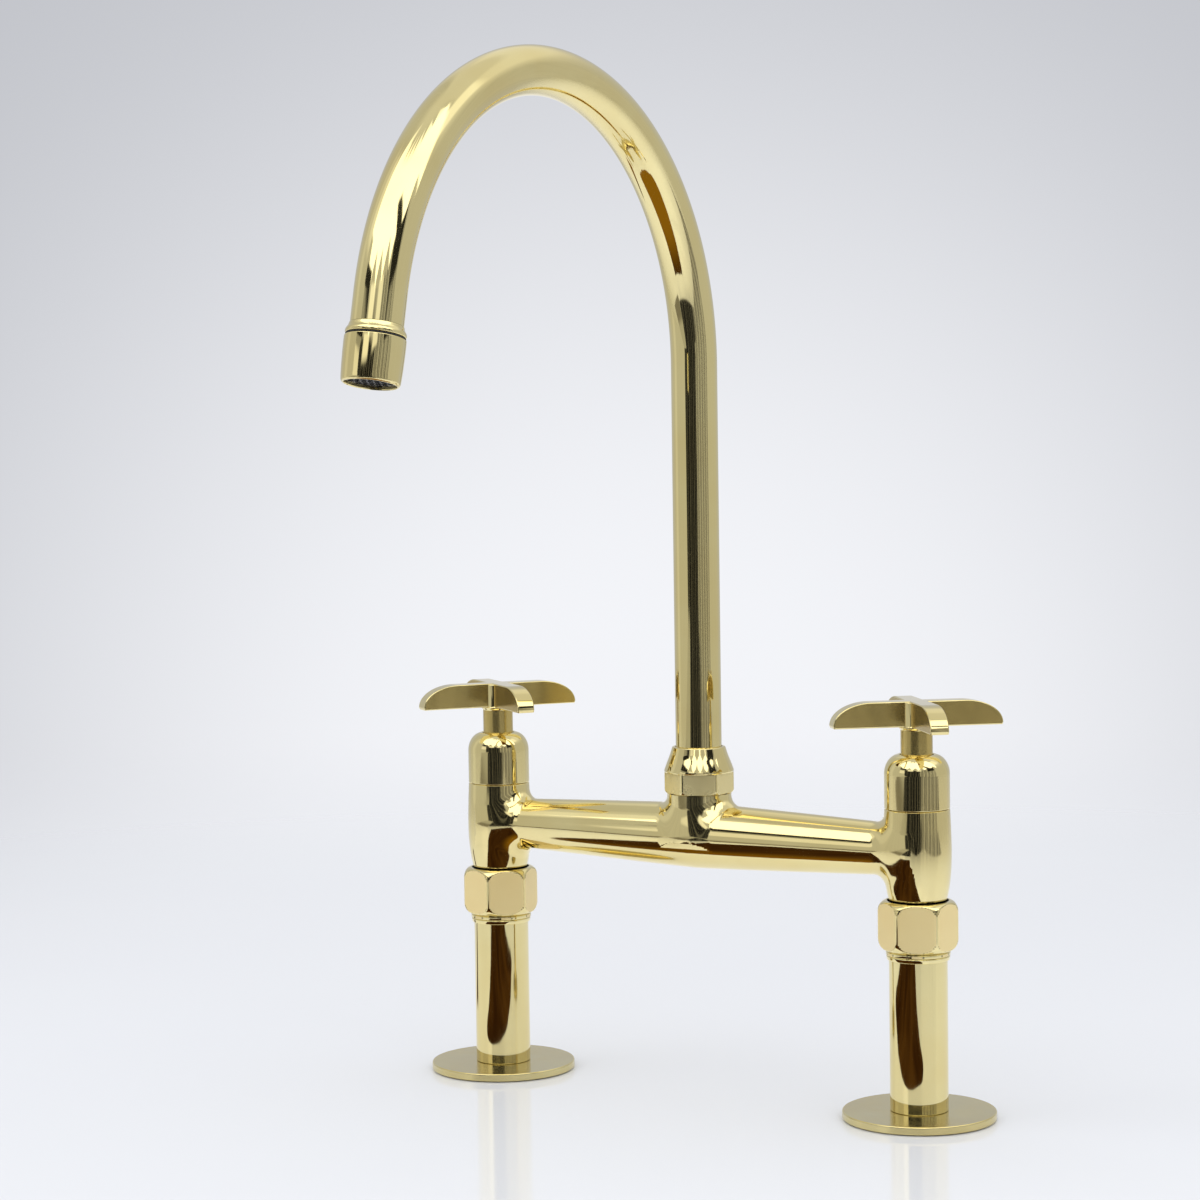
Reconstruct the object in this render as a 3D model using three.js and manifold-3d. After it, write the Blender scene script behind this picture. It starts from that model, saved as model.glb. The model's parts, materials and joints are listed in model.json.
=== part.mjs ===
// A two-handle bridge kitchen faucet in polished brass, modelled as it comes apart on a bench.
// Units are millimetres and +Z is up. The origin is on the worktop, midway between the two legs.
// +X runs along the bridge to the cold side, and the spout points straight forward, along -Y.
import * as THREE from "three";
import { mergeVertices } from "three/addons/utils/BufferGeometryUtils.js";
import { ParametricGeometry } from "three/addons/geometries/ParametricGeometry.js";
import Module from "manifold-3d";

const wasm = await Module();
wasm.setup();

// ---- Driving dimensions ----

const VALVE_CENTRES = 203.2; // leg to leg, the trade's 8 inch spacing
const WORKTOP = 30; // thickness that the clamps under the worktop are closed on

const SEAT_GAP = 0.1; // between faces that rest on each other
const RUNNING_GAP = 0.2; // round a turning or screwed fit, on the radius
const HAIRLINE = 0.25; // the line left between two shells that are screwed together

const FLANGE_R = 31.4;
const FLANGE_TOP = 3.5;
const LEG_R = 11.9;
const LEG_BORE_R = 7.5;
const LEG_TOP = 77.6;
const SHANK_R = 10.45;
const SHANK_BOTTOM = -62;
const SHANK_TOP = 20.6; // screwed this far up into the leg
const RUBBER = 3; // thickness of the washers under the worktop
const STEEL = 1.8;

const NUT_BOTTOM = 65.4;
const NUT_HEX_BOTTOM = 69.3;
const NUT_TOP = 89.5;
const NUT_FLATS = 28.7; // across the flats
const NUT_CORNER_R = 16.3; // rounded off inside the sharp hexagon

const TAIL_BOTTOM = 79.8; // lower end of the valve body's tail, inside the union nut
const CLIP_BOTTOM = 82.1; // wire clip in the groove of the tail
const CLIP_TOP = 83.8;
const BODY_BOTTOM = 88.6;
const BODY_TOP = 126.8;
const NECK_TOP = 134;
const NECK_R = 10.7;
const VALVE_SEAT = 103;
const INLET_BORE_R = 6.5;

const DISC_R = 7;
const FIXED_DISC = [105.4, 108.4]; // bottom and top of each ceramic disc
const MOVING_DISC = [108.5, 111.4];
const STEM_FOOT = [111.55, 113.4]; // the wide foot of the stem, on the moving disc
const STEM_R = 4.1;
const STEM_TOP = 159;
const STEM_RING_HEIGHT = 128.9;
const STEM_CLIP = [143.8, 144.6]; // snapped on above the guide collar
const RIM_TOP = 137.2; // the cartridge's rim, which the bonnet holds down on the neck
const GUIDE_TOP = 143.5; // top of the collar that guides the stem
const GUIDE_BORE_R = 4.3;

const BRIDGE_HEIGHT = 109.5; // axis of the bridge above the worktop
const BRIDGE_MID_R = 13.8;
const BRIDGE_END_R = 10.6;
const BRIDGE_TAPER_END = 90; // distance from the middle where the taper ends
const BRIDGE_TAPER_POWER = 1.15; // just over 1: a nearly straight taper with no crest in the middle
const BRIDGE_BORE_R = 6;
const VALVE_FILLET = 5.5;
const BOSS_FILLET = 4.9;

const BOSS_R = 13.6;
const BOSS_TOP = 127.7;
const BOSS_NECK_R = 11.6;
const BOSS_NECK_TOP = 137.6;
const BOSS_BORE_R = 9.3;

const BONNET_R = 13.3;
const BONNET_BOTTOM = BODY_TOP + HAIRLINE;
const BONNET_SHOULDER = 141; // the dome starts here
const BONNET_TOP = 149;
const BONNET_MOUTH_R = 6.95;

const SLEEVE_R = 6.5;
const SLEEVE_BOTTOM = 144.9;
const ARM_BOTTOM = 160.3;
const ARM_HEIGHT = 10.4;
const ARM_REACH = 35.3;
const ARM_WIDTH = 7.6;
const SCREW_HEIGHT = 153.5; // of the grub screw in the back of the sleeve
const SCREW_R = 1.5;
const LEFT_HANDLE_TURN = 54; // degrees from straight forward to the nearest arm, shut
const RIGHT_HANDLE_TURN = 41;
const LEFT_NUT_TURN = 13.2; // degrees that the spanner left each union nut turned
const RIGHT_NUT_TURN = -6.1;

const SPOUT_R = 9.7;
const SPOUT_BORE_R = 8.5;
const SPOUT_FOOT = 141;
const ARCH_SPRING = 307.5; // height at which the arch leaves the riser
const ARCH_R = 112.3;
const ARCH_SWEEP = THREE.MathUtils.degToRad(167.5);
const TAIL_TUBE = 11.3; // straight tube after the arch

const SPIGOT_BOTTOM = 117.5;
const SPIGOT_R = 9.1;
const SPIGOT_BORE_R = 6.6;
const SPIGOT_TOP = 152;
const SOCKET_R = SPOUT_BORE_R - 0.6; // of what is brazed inside the tube
const RING_GROOVES = [[122, 124.4], [131, 133.4]];
const GROOVE_R = 7.7;
const COLLAR = [138.7, 140.9]; // the spigot's collar, between the thrust ring and the slip ring
const COLLAR_R = 11.5;
const SLIP_TOP = 141.85;

// Along the tail, from the end of the arch.
const OUTLET_R = 11.2;
const RING_TOP = TAIL_TUBE + SEAT_GAP;
const RING_FACE = 15.3;
const SHELL_TOP = 16.05;
const SHELL_BOTTOM = 33;
const SCREEN = [23.9, 24.4];
const INSERT = [24.6, 31.9];

const ROUND = 18; // facets round the shells that show
const WIDE_ROUND = 24; // facets round the flanges
const INNER_ROUND = 12; // facets round what they hide
const STEM_ROUND = 8; // facets round the two stems

// ---- Finishes ----

function metal(color, roughness) {
  return new THREE.MeshStandardMaterial({ color, roughness, metalness: 1 });
}

function plain(color, roughness) {
  return new THREE.MeshStandardMaterial({ color, roughness, metalness: 0 });
}

const polishedBrass = () => metal(0xd8bf78, 0.12);
const satinBrass = () => metal(0xcdb378, 0.3);
const turnedBrass = () => metal(0xc9a85c, 0.4);
const zincedSteel = () => metal(0xb9bcc0, 0.35);
const stainless = () => metal(0xc4c6c8, 0.3);
const blackRubber = () => plain(0x1c1c1e, 0.8);
const whiteCeramic = () => plain(0xf2f0ea, 0.25);
const whiteNylon = () => plain(0xe6e4dc, 0.5);
const blackPlastic = () => plain(0x17181a, 0.45);
const redFibre = () => plain(0x8c3b2e, 0.85);

// ---- Shape tools ----

// A closed geometry as a solid that can be joined and cut.
function solid(geometry) {
  const bare = geometry.clone();
  bare.deleteAttribute("normal");
  bare.deleteAttribute("uv");
  const merged = mergeVertices(bare, 1e-4);
  return new wasm.Manifold(
    new wasm.Mesh({
      numProp: 3,
      vertProperties: new Float32Array(merged.attributes.position.array),
      triVerts: new Uint32Array(merged.index.array),
    }),
  );
}

function geometryOf(made) {
  const mesh = made.getMesh();
  const geometry = new THREE.BufferGeometry();
  geometry.setAttribute("position", new THREE.BufferAttribute(mesh.vertProperties, 3));
  geometry.setIndex(new THREE.BufferAttribute(mesh.triVerts, 1));
  return geometry;
}

function join(first, ...others) {
  return others.reduce((whole, next) => whole.add(solid(next)), solid(first));
}

function cut(whole, ...tools) {
  return tools.reduce((rest, tool) => rest.subtract(solid(tool)), whole);
}

// Twice the area inside an outline, positive when it runs anticlockwise.
function doubleArea(outline) {
  return outline.reduce((sum, [x, y], i) => {
    const [nextX, nextY] = outline[(i + 1) % outline.length];
    return sum + x * nextY - nextX * y;
  }, 0);
}

// A turned piece about Z. The profile is a list of [radius, height], and it closes on itself
// or runs from axis to axis.
function turned(profile, facets = ROUND) {
  const outline = doubleArea(profile) < 0 ? [...profile].reverse() : [...profile];
  const axial = outline.findIndex(([r], i) => r === 0 && outline[(i + 1) % outline.length][0] === 0);
  const opened = axial < 0
    ? [...outline, outline[0]]
    : [...outline.slice(axial + 1), ...outline.slice(0, axial + 1)];
  const points = opened.map(([r, z]) => new THREE.Vector2(r, z));
  return new THREE.LatheGeometry(points, facets).rotateX(Math.PI / 2);
}

// A plain tube or ring about Z.
function ring(outerR, innerR, bottom, top, facets = ROUND) {
  return turned([[innerR, bottom], [outerR, bottom], [outerR, top], [innerR, top]], facets);
}

function rod(radius, bottom, top, facets = INNER_ROUND) {
  return turned([[0, bottom], [radius, bottom], [radius, top], [0, top]], facets);
}

// Points on an elliptical arc in a profile, angles in degrees.
function arc(centreX, centreY, radiusX, radiusY, from, to, steps) {
  return Array.from({ length: steps + 1 }, (_, i) => {
    const angle = THREE.MathUtils.degToRad(from + ((to - from) * i) / steps);
    return [centreX + radiusX * Math.cos(angle), centreY + radiusY * Math.sin(angle)];
  });
}

function shapeOf(points) {
  return new THREE.Shape(points.map(([x, y]) => new THREE.Vector2(x, y)));
}

function pathOf(points) {
  return new THREE.Path(points.map(([x, y]) => new THREE.Vector2(x, y)));
}

// A flat outline in X and Y, drawn up from one height to another.
function slab(shape, bottom, top) {
  return new THREE.ExtrudeGeometry(shape, { depth: top - bottom, bevelEnabled: false })
    .translate(0, 0, bottom);
}

function polygon(sides, radius, firstCorner = 0) {
  return Array.from({ length: sides }, (_, i) => {
    const angle = firstCorner + (2 * Math.PI * i) / sides;
    return [radius * Math.cos(angle), radius * Math.sin(angle)];
  });
}

// A hexagonal bar with a corner straight forward.
function hexBar(acrossFlats, bottom, top) {
  const cornerR = acrossFlats / Math.sqrt(3);
  return slab(shapeOf(polygon(6, cornerR, -Math.PI / 2)), bottom, top);
}

// A flat C-shaped clip about Z, open towards -Y.
function splitRing(outerR, innerR, bottom, top, openDegrees) {
  const half = openDegrees / 2;
  const outside = arc(0, 0, outerR, outerR, -90 + half, 270 - half, 12);
  const inside = arc(0, 0, innerR, innerR, 270 - half, -90 + half, 12);
  return slab(shapeOf([...outside, ...inside]), bottom, top);
}

function node(name, geometry, material) {
  const mesh = new THREE.Mesh(geometry, material);
  mesh.name = name;
  return mesh;
}

function solidNode(name, made, material) {
  return node(name, geometryOf(made), material);
}

// ---- Bridge body: one casting with two valve bodies, the tapered bridge and the spout boss ----

function bridgeRadius(x) {
  const along = Math.min(Math.abs(x) / BRIDGE_TAPER_END, 1);
  return BRIDGE_END_R + (BRIDGE_MID_R - BRIDGE_END_R) * (1 - along ** BRIDGE_TAPER_POWER);
}

// The bar ends inside the two valve bodies.
function bridgeBar() {
  const stations = [-96, -50, -14, 14, 50, 96];
  const profile = [[0, stations[0]], ...stations.map((x) => [bridgeRadius(x), x]), [0, stations.at(-1)]];
  return turned(profile).rotateY(Math.PI / 2).translate(0, 0, BRIDGE_HEIGHT);
}

// The valve body swells to just under 28 mm across at the bridge, and draws in towards both ends.
const valveBodySide = new THREE.SplineCurve([
  new THREE.Vector2(11.7, 89.3),
  new THREE.Vector2(12.7, 94.3),
  new THREE.Vector2(13.45, 99),
  new THREE.Vector2(13.82, 107),
  new THREE.Vector2(13.8, 114),
  new THREE.Vector2(13.6, 120.5),
  new THREE.Vector2(BONNET_R, BODY_TOP),
]);

function valveBodyRadius(height) {
  const side = valveBodySide.getPoints(40);
  const above = side.findIndex((p) => p.y >= height);
  return side[Math.max(above, 0)].x;
}

function valveBodyOutside() {
  const tailR = 9.55;
  const grooveR = 8.5;
  const lowerEdgeR = 11.2;
  return turned([
    [0, TAIL_BOTTOM],
    [tailR, TAIL_BOTTOM],
    [tailR, CLIP_BOTTOM - SEAT_GAP],
    [grooveR, CLIP_BOTTOM - SEAT_GAP],
    [grooveR, CLIP_TOP + SEAT_GAP],
    [tailR, CLIP_TOP + SEAT_GAP],
    [tailR, BODY_BOTTOM],
    [lowerEdgeR, BODY_BOTTOM],
    ...valveBodySide.getPoints(5).map((p) => [p.x, p.y]),
    [NECK_R, BODY_TOP],
    [NECK_R, NECK_TOP],
    [0, NECK_TOP],
  ]);
}

// The bore comes up the tail, opens to the chamber round the ceramic discs above the seat,
// and narrows again where the cartridge is held.
function valveBodyBore() {
  const chamberR = 10.6;
  const chamberTop = 120.5;
  const pilotR = 9;
  const pilotBottom = 122.5;
  return turned([
    [0, TAIL_BOTTOM - 1],
    [INLET_BORE_R, TAIL_BOTTOM - 1],
    [INLET_BORE_R, VALVE_SEAT],
    [chamberR, VALVE_SEAT],
    [chamberR, chamberTop],
    [pilotR, pilotBottom],
    [pilotR, NECK_TOP + 1],
    [0, NECK_TOP + 1],
  ], INNER_ROUND);
}

function bossOutside() {
  return turned([
    [0, BRIDGE_HEIGHT],
    [BOSS_R, BRIDGE_HEIGHT],
    [BOSS_R, BOSS_TOP],
    [BOSS_NECK_R, BOSS_TOP],
    [BOSS_NECK_R, BOSS_NECK_TOP - 0.8],
    [BOSS_NECK_R - 0.8, BOSS_NECK_TOP],
    [0, BOSS_NECK_TOP],
  ]);
}

function bossBore() {
  const foot = 116.5;
  return turned([
    [0, BRIDGE_HEIGHT - 1],
    [BRIDGE_BORE_R, BRIDGE_HEIGHT - 1],
    [BRIDGE_BORE_R, foot - 2],
    [BOSS_BORE_R, foot],
    [BOSS_BORE_R, BOSS_NECK_TOP + 1],
    [0, BOSS_NECK_TOP + 1],
  ]);
}

function bridgeBore() {
  const reach = VALVE_CENTRES / 2 - 6;
  return rod(BRIDGE_BORE_R, -reach, reach).rotateY(Math.PI / 2).translate(0, 0, BRIDGE_HEIGHT);
}

// The blend that a ball of radius `ball` would leave, rolled round the corner where a round tube
// runs squarely into a wider one. In the working frame the narrow tube runs along X from the
// origin and the wide tube runs along Z, with its radius given for each height by wideR(z).
// Across the section, the first steps follow the ball from one wall to the other and the last
// point lies inside both tubes, so the blend is a closed ring. Its facets line up with those of
// the narrow tube.
function rolledFillet({ narrowR, wideR, ball, around, across }) {
  const narrow = narrowR - 0.05; // sunk a little, because facets lie inside the true round
  const place = (u, v, target) => {
    const angle = 2 * Math.PI * (u + 0.5 / around);
    const up = Math.cos(angle);
    const side = Math.sin(angle);
    const wide = wideR((narrow + ball) * up) - 0.05;
    const centre = new THREE.Vector3(0, (narrow + ball) * side, (narrow + ball) * up);
    centre.x = Math.sqrt((wide + ball) ** 2 - centre.y ** 2);
    const step = Math.round(v * across);
    if (step === across - 1) {
      target.set(wide / 2, 0.6 * narrow * side, 0.6 * narrow * up);
      return;
    }
    const toNarrow = new THREE.Vector3(0, -side, -up);
    const toWide = new THREE.Vector3(-centre.x, -centre.y, 0).normalize();
    const share = (step % across) / (across - 2);
    const swing = toNarrow.angleTo(toWide);
    target.copy(centre)
      .addScaledVector(toNarrow, (ball * Math.sin((1 - share) * swing)) / Math.sin(swing))
      .addScaledVector(toWide, (ball * Math.sin(share * swing)) / Math.sin(swing));
  };
  return new ParametricGeometry(place, around, across);
}

function bossFillet() {
  return rolledFillet({
    narrowR: BOSS_R,
    wideR: (x) => bridgeRadius(x),
    ball: BOSS_FILLET,
    around: ROUND,
    across: 6,
  }).rotateY(-Math.PI / 2).translate(0, 0, BRIDGE_HEIGHT);
}

function valveFillet(side) {
  const fillet = rolledFillet({
    narrowR: bridgeRadius(VALVE_CENTRES / 2 - 16),
    wideR: (z) => valveBodyRadius(BRIDGE_HEIGHT + z),
    ball: VALVE_FILLET,
    around: ROUND,
    across: 5,
  });
  if (side > 0) fillet.rotateZ(Math.PI);
  return fillet.translate((side * VALVE_CENTRES) / 2, 0, BRIDGE_HEIGHT);
}

function bridgeBody() {
  const sides = [-1, 1];
  const bodies = sides.map((side) => valveBodyOutside().translate((side * VALVE_CENTRES) / 2, 0, 0));
  const bores = sides.map((side) => valveBodyBore().translate((side * VALVE_CENTRES) / 2, 0, 0));
  const casting = join(bridgeBar(), ...bodies, bossOutside(), bossFillet(), ...sides.map(valveFillet));
  return solidNode("bridge_body", cut(casting, bridgeBore(), bossBore(), ...bores), polishedBrass());
}

// ---- Legs and what clamps them to the worktop ----

// A thin plate with a softened rim, hollowed underneath for its gasket.
function flange() {
  const holeR = SHANK_R + 0.45;
  const recessR = 29.3;
  const recessTop = 1.45;
  const lift = 0.3;
  const soft = 0.5;
  return turned([
    [holeR, recessTop],
    [recessR, recessTop],
    [recessR, lift],
    [FLANGE_R, lift],
    [FLANGE_R, FLANGE_TOP - soft],
    [FLANGE_R - soft, FLANGE_TOP],
    [holeR, FLANGE_TOP],
  ], WIDE_ROUND);
}

function deckGasket() {
  return ring(29, 12, 0, 1.35);
}

function leg() {
  const foot = FLANGE_TOP + SEAT_GAP;
  const socketR = SHANK_R + RUNNING_GAP;
  return turned([
    [socketR, foot],
    [LEG_R, foot],
    [LEG_R, LEG_TOP],
    [LEG_BORE_R, LEG_TOP],
    [LEG_BORE_R, SHANK_TOP + SEAT_GAP],
    [socketR, SHANK_TOP + SEAT_GAP],
  ]);
}

function shank() {
  const chamfer = 0.8;
  return turned([
    [LEG_BORE_R, SHANK_BOTTOM],
    [SHANK_R - chamfer, SHANK_BOTTOM],
    [SHANK_R, SHANK_BOTTOM + chamfer],
    [SHANK_R, SHANK_TOP],
    [LEG_BORE_R, SHANK_TOP],
  ]);
}

function rubberWasher() {
  return ring(22, SHANK_R + 0.3, -WORKTOP - RUBBER, -WORKTOP);
}

function steelWasher() {
  const top = -WORKTOP - RUBBER - SEAT_GAP;
  return ring(21, SHANK_R + 0.3, top - STEEL, top);
}

function backNut() {
  const top = -WORKTOP - RUBBER - STEEL - 2 * SEAT_GAP;
  const bottom = top - 8;
  const flats = 30;
  const chamferR = flats / 2 + 0.4;
  const chamferRise = 1.4;
  const cornerR = flats / Math.sqrt(3);
  const barrel = turned([
    [0, bottom],
    [chamferR, bottom],
    [cornerR, bottom + chamferRise],
    [cornerR, top - chamferRise],
    [chamferR, top],
    [0, top],
  ]);
  return cut(
    solid(hexBar(flats, bottom, top)).intersect(solid(barrel)),
    rod(SHANK_R + RUNNING_GAP, bottom - 1, top + 1, ROUND),
  );
}

// ---- Union between leg and valve body ----

// A hexagon with its ends rounded like a barrel, over a short round skirt.
function unionNut() {
  const curve = { run: 3.4, rise: 4.6 };
  const curveR = NUT_CORNER_R - curve.run;
  const skirtR = 13.3;
  const barrel = turned([
    [0, NUT_HEX_BOTTOM],
    ...arc(curveR, NUT_HEX_BOTTOM + curve.rise, curve.run, curve.rise, -80, 0, 2),
    ...arc(curveR, NUT_TOP - curve.rise, curve.run, curve.rise, 0, 80, 2),
    [0, NUT_TOP],
  ], INNER_ROUND);
  const skirt = turned([
    [0, NUT_BOTTOM],
    [LEG_R + 0.7, NUT_BOTTOM],
    [skirtR, NUT_HEX_BOTTOM - 0.6],
    [skirtR, NUT_HEX_BOTTOM + 2],
    [0, NUT_HEX_BOTTOM + 2],
  ]);
  const threadR = LEG_R + RUNNING_GAP;
  const lip = { radius: 9.8, bottom: CLIP_TOP + 0.2, top: 87.4 };
  const mouthR = 12.4;
  const inside = turned([
    [0, NUT_BOTTOM - 1],
    [threadR, NUT_BOTTOM - 1],
    [threadR, lip.bottom],
    [lip.radius, lip.bottom],
    [lip.radius, lip.top],
    [mouthR, lip.top],
    [mouthR, NUT_TOP + 1],
    [0, NUT_TOP + 1],
  ]);
  const hexagon = solid(hexBar(NUT_FLATS, NUT_HEX_BOTTOM, NUT_TOP)).intersect(solid(barrel));
  return cut(hexagon.add(solid(skirt)), inside);
}

// The wire clip in the groove of the tail, which the nut's inner lip pulls on.
function unionClip() {
  return splitRing(11.6, 8.85, CLIP_BOTTOM, CLIP_TOP, 40);
}

function unionWasher() {
  return ring(11.4, 7.7, LEG_TOP + SEAT_GAP, TAIL_BOTTOM - SEAT_GAP, INNER_ROUND);
}

// ---- Quarter-turn ceramic cartridge ----

// Two opposite ports in a disc, which line up with the other disc's a quarter turn later.
function portedDisc([bottom, top], notched) {
  const notch = { halfWidth: 1.3, depth: 1.5 };
  const rim = notched
    ? [0, 180].flatMap((turn) => {
      const edge = THREE.MathUtils.radToDeg(Math.asin(notch.halfWidth / DISC_R));
      const away = turn ? -1 : 1;
      return [
        [away * (DISC_R - notch.depth), away * -notch.halfWidth],
        [away * (DISC_R - notch.depth), away * notch.halfWidth],
        ...arc(0, 0, DISC_R, DISC_R, turn + edge, turn + 180 - edge, 10),
      ];
    })
    : polygon(INNER_ROUND, DISC_R);
  const disc = shapeOf(rim);
  const port = { outerR: 5.1, innerR: 2, degrees: 70, start: notched ? 55 : -35 };
  for (const turn of [0, 180]) {
    const from = port.start + turn;
    const to = from + port.degrees;
    const outside = arc(0, 0, port.outerR, port.outerR, from, to, 4);
    const inside = arc(0, 0, port.innerR, port.innerR, to, from, 2);
    disc.holes.push(pathOf([...outside, ...inside]));
  }
  return slab(disc, bottom, top);
}

function seatSeal() {
  return ring(7.1, 5.6, VALVE_SEAT + SEAT_GAP, FIXED_DISC[0] - SEAT_GAP, INNER_ROUND);
}

// The brass barrel that holds the discs, with a window on each side for the water to leave by.
function cartridgeBody() {
  const barrel = { outerR: 8.4, innerR: DISC_R + 0.3, bottom: 104.3, top: 121.5 };
  const pilotR = 8.8;
  const rimR = 10.6;
  const collarR = 7;
  const roof = 118.6;
  const shell = turned([
    [barrel.innerR, barrel.bottom],
    [barrel.outerR, barrel.bottom],
    [barrel.outerR, barrel.top],
    [pilotR, barrel.top + 1],
    [pilotR, NECK_TOP + SEAT_GAP],
    [rimR, NECK_TOP + SEAT_GAP],
    [rimR, RIM_TOP],
    [collarR, RIM_TOP],
    [collarR, GUIDE_TOP],
    [GUIDE_BORE_R, GUIDE_TOP],
    [GUIDE_BORE_R, roof],
    [barrel.innerR, roof],
  ], INNER_ROUND);
  const window = new THREE.BoxGeometry(30, 8, 5.6).translate(0, 0, 115.2);
  return cut(solid(shell), window);
}

// The stem turns the moving disc by two lugs under its foot, and ends in a spline for the handle.
function cartridgeStem() {
  const footR = 6.9;
  const ringGroove = { radius: 3.2, bottom: STEM_RING_HEIGHT - 0.9, top: STEM_RING_HEIGHT + 0.9 };
  const clipGroove = { radius: 3.3, bottom: STEM_CLIP[0] - SEAT_GAP, top: STEM_CLIP[1] + SEAT_GAP };
  const plainTop = 147;
  const spindle = turned([
    [0, STEM_FOOT[0]],
    [footR, STEM_FOOT[0]],
    [footR, STEM_FOOT[1]],
    [STEM_R, STEM_FOOT[1] + 1.2],
    [STEM_R, ringGroove.bottom],
    [ringGroove.radius, ringGroove.bottom],
    [ringGroove.radius, ringGroove.top],
    [STEM_R, ringGroove.top],
    [STEM_R, clipGroove.bottom],
    [clipGroove.radius, clipGroove.bottom],
    [clipGroove.radius, clipGroove.top],
    [STEM_R, clipGroove.top],
    [STEM_R, plainTop],
    [0, plainTop],
  ], STEM_ROUND);
  const spline = { teeth: 12, rootR: 3.45, tipR: 3.95 };
  const outline = polygon(2 * spline.teeth, 1).map(([x, y], i) => {
    const radius = i % 2 ? spline.rootR : spline.tipR;
    return [x * radius, y * radius];
  });
  const lugs = [-1, 1].map((side) =>
    new THREE.BoxGeometry(1.2, 2.4, 2.6).translate(side * 6.2, 0, STEM_FOOT[0] - 1));
  return join(spindle, slab(shapeOf(outline), plainTop - 0.5, STEM_TOP), ...lugs);
}

function stemRing() {
  const tube = { pathR: 3.69, radius: 0.43 };
  return new THREE.TorusGeometry(tube.pathR, tube.radius, 5, INNER_ROUND)
    .translate(0, 0, STEM_RING_HEIGHT);
}

function stemClip() {
  return splitRing(5.8, 3.4, ...STEM_CLIP, 60);
}

// ---- Bonnet and cross handle ----

// The bonnet screws down over the neck, and its step presses on the cartridge's rim.
function bonnet() {
  const threadR = NECK_R + RUNNING_GAP;
  const shoulderR = 6.4;
  const domeRise = BONNET_TOP - BONNET_SHOULDER;
  const collarR = 7.4;
  const mouthBottom = 145.6;
  const step = RIM_TOP + 0.15;
  return turned([
    [threadR, BONNET_BOTTOM],
    [BONNET_R, BONNET_BOTTOM],
    ...arc(BONNET_R - shoulderR, BONNET_SHOULDER, shoulderR, domeRise, 0, 84, 4),
    [BONNET_MOUTH_R, mouthBottom],
    [collarR, mouthBottom],
    [collarR, step],
    [threadR, step],
  ]);
}

// One strap through the hub, seen from the side: flat underneath, with each tip rolled down in
// a quarter of an ellipse.
function strap() {
  const tip = { run: 16, rise: 8.7, foot: 0.9, undercut: 0.4 };
  const rightEnd = arc(ARM_REACH - tip.run, tip.foot, tip.run, tip.rise, 0, 90, 5);
  const leftEnd = rightEnd.map(([x, z]) => [-x, z]).reverse();
  const footX = ARM_REACH - tip.undercut;
  const side = [[footX, 0], ...rightEnd, [0, ARM_HEIGHT], ...leftEnd, [-footX, 0]];
  return slab(shapeOf(side), -ARM_WIDTH / 2, ARM_WIDTH / 2)
    .rotateX(Math.PI / 2)
    .translate(0, 0, ARM_BOTTOM);
}

// A socketed sleeve that carries two straps crossed through its hub.
function handle() {
  const socketR = STEM_R + RUNNING_GAP;
  const socketTop = STEM_TOP + 0.6;
  const hubR = SLEEVE_R + 0.4;
  const hubTop = ARM_BOTTOM + ARM_HEIGHT - 0.3;
  const soft = 0.5;
  const hub = turned([
    [socketR, SLEEVE_BOTTOM],
    [SLEEVE_R, SLEEVE_BOTTOM],
    [SLEEVE_R, ARM_BOTTOM - 1.1],
    [hubR, ARM_BOTTOM - 0.2],
    [hubR, hubTop - soft],
    [hubR - soft, hubTop],
    [0, hubTop],
    [0, socketTop],
    [socketR, socketTop],
  ]);
  const screwHole = rod(SCREW_R + RUNNING_GAP, 0, 12).rotateX(-Math.PI / 2).translate(0, 0, SCREW_HEIGHT);
  return cut(join(hub, strap(), strap().rotateZ(Math.PI / 2)), screwHole);
}

// The grub screw, with its hexagon socket outwards. It stands just clear of the stem's spline.
function setScrew() {
  const length = 1.9;
  const socket = { cornerR: 0.9, bottom: 1.2 };
  const hexagon = slab(shapeOf(polygon(6, socket.cornerR)), socket.bottom, length + 1);
  return geometryOf(cut(solid(rod(SCREW_R, 0, length)), hexagon))
    .rotateX(-Math.PI / 2)
    .translate(0, STEM_R + 0.3, SCREW_HEIGHT);
}

// ---- Spout and its swivel in the boss ----

// A hexagon under a round cone, as one nut.
function spoutNut() {
  const bottom = BOSS_TOP + HAIRLINE;
  const hexTop = 136.6;
  const top = 147.6;
  const cornerR = 14.7;
  const threadR = BOSS_NECK_R + HAIRLINE;
  const lipR = SPOUT_R + HAIRLINE;
  const lipBottom = SLIP_TOP + SEAT_GAP;
  const buried = hexTop + 0.5; // the hexagon's top, inside the cone's foot
  const barrel = turned([
    [0, bottom],
    [cornerR - 0.9, bottom],
    [cornerR, hexTop - 3],
    [cornerR, buried],
    [0, buried],
  ], INNER_ROUND);
  const cone = turned([
    [0, hexTop],
    [cornerR - 0.25, hexTop],
    [cornerR, hexTop + 0.3],
    [cornerR - 0.05, hexTop + 0.9],
    [13.6, 140.6],
    [12.3, 143.7],
    [11.15, top - 0.4],
    [10.8, top],
    [0, top],
  ]);
  const inside = turned([
    [0, bottom - 1],
    [threadR, bottom - 1],
    [threadR, lipBottom],
    [lipR, lipBottom],
    [lipR, top + 1],
    [0, top + 1],
  ]);
  const hexagon = solid(hexBar(cornerR * Math.sqrt(3), bottom, buried)).intersect(solid(barrel));
  return cut(hexagon.add(solid(cone)), inside);
}

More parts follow.
